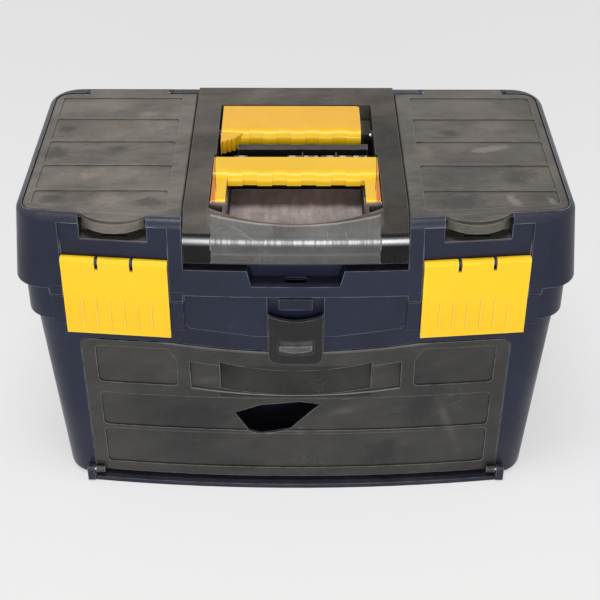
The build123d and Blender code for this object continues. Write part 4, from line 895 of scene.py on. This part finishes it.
class BOX_OT_finish_handles(bpy.types.Operator):
    """Finish the two handles, with a painted sheen on top and painted shade in orange at the ends and
    underneath
    """

    bl_idname = "toolbox.finish_handles"
    bl_label = "Finish handles"

    def execute(self, context):
        look = context.scene.toolbox_trim
        shell = context.scene.toolbox_shell
        faded, orange = opaque(look.faded), opaque(look.orange)
        for name, crease in (("front_handle", None), ("rear_handle", 0.0358)):
            material, wiring, shader, place = new_material("Yellow plastic, " + name.replace("_", " "))
            axes = wiring.axes(place)
            side = wiring.sum("ABSOLUTE", axes["X"])
            upward = wiring.axes(wiring.add("TexCoord").outputs["Normal"])["Z"]
            blotched = wiring.step(wiring.noise(place, 34.0, 4.0, 0.6), 0.35, 0.65, 0.6, 1.0)
            sheen_on_top = wiring.product(wiring.step(upward, 0.80, 0.99), blotched, 1.0 if crease else 0.35)
            if crease:
                # painted sheen on the rear handle's top, behind the crease
                behind = wiring.step(axes["Y"], crease, crease + 0.0012)
                coats = [(faded, behind, 0.6), (orange, wiring.step(side, 0.0660, 0.0675))]
            else:
                outer = wiring.scaled(wiring.step(axes["Y"], -0.020, -0.084), -0.0035, 0.0692)
                past = wiring.sum("SUBTRACT", side, outer)
                groove = wiring.within(past, -0.0006, 0.0001, 0.0002)
                behind = wiring.step(axes["Y"], -0.072, -0.060)
                coats = [(orange, wiring.step(past, 0.0, 0.0008)), (opaque(shell.grime), groove, behind)]
            # painted shade: faces that look down turn orange
            under = wiring.step(upward, -0.1, -0.8, 0.0, 0.85)
            painted = wiring.painted(opaque(look.yellow), (faded, sheen_on_top), *coats, (orange, under))
            weather(wiring, shader, place, painted, shell, (1.0, 0.80, 0.30), 0.05, 0.35, 0.28,
                    clouds=0.06, scratched=0.25, grime=0.25, grain=0.05, shine=0.3)
            dress([name], material)
        return {"FINISHED"}


class BOX_OT_finish_rack(bpy.types.Operator):
    """Finish the black rack that holds the driver bits"""

    bl_idname = "toolbox.finish_rack"
    bl_label = "Finish rack"

    def execute(self, context):
        shell = context.scene.toolbox_shell
        material, wiring, shader, place = new_material("Black rack plastic")
        weather(wiring, shader, place, opaque(shell.black), shell, (0.25, 0.25, 0.25), 0.12, shell.wear, 0.34,
                clouds=0.3, scratched=0.3, grime=0.9, shine=0.35)
        dress(["bit_rack"], material)
        return {"FINISHED"}


class BOX_OT_finish_steel(bpy.types.Operator):
    """Finish the driver bits and the hinge pins"""

    bl_idname = "toolbox.finish_steel"
    bl_label = "Finish steel"

    def execute(self, context):
        look = context.scene.toolbox_trim
        for name, names, bands in (
            ("Worn steel", [node for node in nodes if node.endswith("_pin")], False),
            ("Banded steel", [node for node in nodes if node.endswith("_bit")], True),
        ):
            material, wiring, shader, place = new_material(name)
            lines = place_group(wiring, fine_scratches, place, Fineness=700.0)["Mask"]
            tone = wiring.noise(place, 150.0, 4.0)
            base = wiring.mix(tone, opaque(look.steel), opaque(look.steel, 0.6))
            if bands:
                along = wiring.sum("ADD", wiring.axes(place)["X"], 0.0031)
                neck = wiring.step(wiring.sum("PINGPONG", along, 0.0055), 0.0022, 0.0030)
                base = wiring.painted(base, (opaque(look.dark_steel), neck, 0.85))
            wiring.feed(shader.inputs["Base Color"], base)
            matt = wiring.step(wiring.sum("ADD", tone, lines), 0.2, 1.2, 0.28, 0.60)
            wiring.feed(shader.inputs["Roughness"], matt)
            shader.inputs["Metallic"].default_value = 1.0
            bump = wiring.add("Bump", {"Strength": 0.2, "Distance": 0.0002, "Height": lines})
            wiring.feed(shader.inputs["Normal"], bump.outputs[0])
            dress(names, material)
        return {"FINISHED"}


class BOX_OT_set_stage(bpy.types.Operator):
    """Make the camera, the floor, the sky and the lamps"""

    bl_idname = "toolbox.set_stage"
    bl_label = "Set stage"

    def execute(self, context):
        look = context.scene.toolbox_stage
        make_camera(look)
        make_floor(look)
        make_sky(look)
        make_lamps(look)
        context.scene.view_settings.view_transform = "Standard"
        return {"FINISHED"}


def make_camera(look):
    """The camera looks along the pitch and yaw; its right and up are then turned by the roll."""
    ahead = Vector((
        math.sin(look.yaw) * math.cos(look.pitch),
        math.cos(look.yaw) * math.cos(look.pitch),
        -math.sin(look.pitch),
    ))
    level = Vector((math.cos(look.yaw), -math.sin(look.yaw), 0.0))
    upright = level.cross(ahead)
    right = level * math.cos(look.roll) + upright * math.sin(look.roll)
    up = upright * math.cos(look.roll) - level * math.sin(look.roll)
    data = bpy.data.cameras.new("Camera")
    data.sensor_width = 36.0
    data.lens = look.lens
    data.clip_start = 0.05
    data.clip_end = 50.0
    camera = bpy.data.objects.new("Camera", data)
    turn = Matrix((right, up, -ahead)).transposed().to_4x4()
    camera.matrix_world = Matrix.Translation(look.eye) @ turn
    bpy.context.scene.collection.objects.link(camera)
    bpy.context.scene.camera = camera


def make_floor(look):
    """A large flat floor. Seen directly, in gloss or through glass, part of it is given out as plain white.

    The part grows with the distance from the middle, so that the far edge meets the sky."""
    mesh = bpy.data.meshes.new("floor")
    half = 6.0
    corners = [(-half, -half, 0), (half, -half, 0), (half, half, 0), (-half, half, 0)]
    mesh.from_pydata(corners, [], [(0, 1, 2, 3)])
    floor = bpy.data.objects.new("floor", mesh)
    bpy.context.scene.collection.objects.link(floor)
    material, wiring, shader, place = new_material("Pale floor")
    grain = wiring.noise(place, 60.0, 3.0)
    wiring.feed(shader.inputs["Base Color"], wiring.mix(grain, opaque(look.floor), opaque(look.floor, 0.98)))
    shader.inputs["Roughness"].default_value = 0.9
    shader.inputs["Specular IOR Level"].default_value = 0.1
    white = wiring.add("Emission", {"Color": (1, 1, 1, 1), "Strength": look.white})
    axes = wiring.axes(place)
    squared = wiring.sum("ADD", wiring.product(axes["X"], axes["X"]), wiring.product(axes["Y"], axes["Y"]))
    share = wiring.product(seen_rays(wiring), wiring.step(wiring.sum("SQRT", squared), 0.8, 4.0, 0.6, 1.0))
    mixed = wiring.add("MixShader", {0: share, 1: shader.outputs[0], 2: white.outputs[0]})
    end = [node for node in material.node_tree.nodes if node.bl_idname == "ShaderNodeOutputMaterial"][0]
    material.node_tree.links.new(mixed.outputs[0], end.inputs[0])
    mesh.materials.append(material)


def seen_rays(wiring):
    """1 for rays from the camera, and for those that show in gloss or through glass."""
    path = wiring.add("LightPath").outputs
    gloss = wiring.sum("MAXIMUM", path["Is Glossy Ray"], path["Is Transmission Ray"])
    return wiring.sum("MAXIMUM", path["Is Camera Ray"], gloss)


def make_sky(look):
    """An even sky that lights gently, and shows as near white to the camera and in reflections and glass."""
    world = bpy.data.worlds.new("Sky")
    world.use_nodes = True
    tree = world.node_tree
    tree.nodes.clear()
    wiring = Wiring(tree)
    lit = wiring.add("Background", {"Color": (1, 1, 1, 1), "Strength": look.sky})
    seen = wiring.add("Background", {"Color": (1, 1, 1, 1), "Strength": look.white})
    mixed = wiring.add("MixShader", {0: seen_rays(wiring), 1: lit.outputs[0], 2: seen.outputs[0]})
    output = wiring.add("OutputWorld")
    tree.links.new(mixed.outputs[0], output.inputs[0])
    bpy.context.scene.world = world


def make_lamps(look):
    """A large soft lamp overhead, a little in front, and a second one low in front."""
    for name, place, size, power in (
        ("Overhead lamp", (-0.10, -0.42, 1.88), 0.6, look.key),
        ("Front lamp", (0.05, -2.05, 0.56), 0.9, look.front),
    ):
        data = bpy.data.lights.new(name, "AREA")
        data.size = size
        data.energy = power
        lamp = bpy.data.objects.new(name, data)
        lamp.location = place
        lamp.rotation_mode = "QUATERNION"
        lamp.rotation_quaternion = (Vector((0, 0, 0.15)) - Vector(place)).to_track_quat("-Z", "Y")
        lamp.visible_camera = False
        bpy.context.scene.collection.objects.link(lamp)


class BOX_PT_panel(bpy.types.Panel):
    """Lists the tool box's operators"""

    bl_idname = "BOX_PT_panel"
    bl_label = "Tool box"
    bl_space_type = "VIEW_3D"
    bl_region_type = "UI"
    bl_category = "Tool box"

    def draw(self, context):
        for operator in OPERATORS:
            self.layout.operator(operator.bl_idname)


OPERATORS = (
    BOX_OT_finish_shell,
    BOX_OT_make_rim_blocks,
    BOX_OT_finish_flaps,
    BOX_OT_finish_cover,
    BOX_OT_make_well_lips,
    BOX_OT_make_nose_film,
    BOX_OT_finish_door,
    BOX_OT_finish_door_latch,
    BOX_OT_finish_latches,
    BOX_OT_finish_handles,
    BOX_OT_finish_rack,
    BOX_OT_finish_steel,
    BOX_OT_set_stage,
)
SETTINGS = {
    "toolbox_shell": ShellSettings,
    "toolbox_door": DoorSettings,
    "toolbox_trim": TrimSettings,
    "toolbox_film": FilmSettings,
    "toolbox_stage": StageSettings,
}


def register():
    """Adds the settings, the operators and the panel to Blender."""
    for name, group in SETTINGS.items():
        bpy.utils.register_class(group)
        setattr(bpy.types.Scene, name, PointerProperty(type=group))
    for operator in OPERATORS:
        bpy.utils.register_class(operator)
    bpy.utils.register_class(BOX_PT_panel)


def unregister():
    """Takes them out again."""
    bpy.utils.unregister_class(BOX_PT_panel)
    for operator in reversed(OPERATORS):
        bpy.utils.unregister_class(operator)
    for name, group in SETTINGS.items():
        delattr(bpy.types.Scene, name)
        bpy.utils.unregister_class(group)


def main():
    """Runs every operator in order."""
    register()
    for operator in OPERATORS:
        family, name = operator.bl_idname.split(".")
        getattr(getattr(bpy.ops, family), name)()


if __name__ == "__main__":
    main()
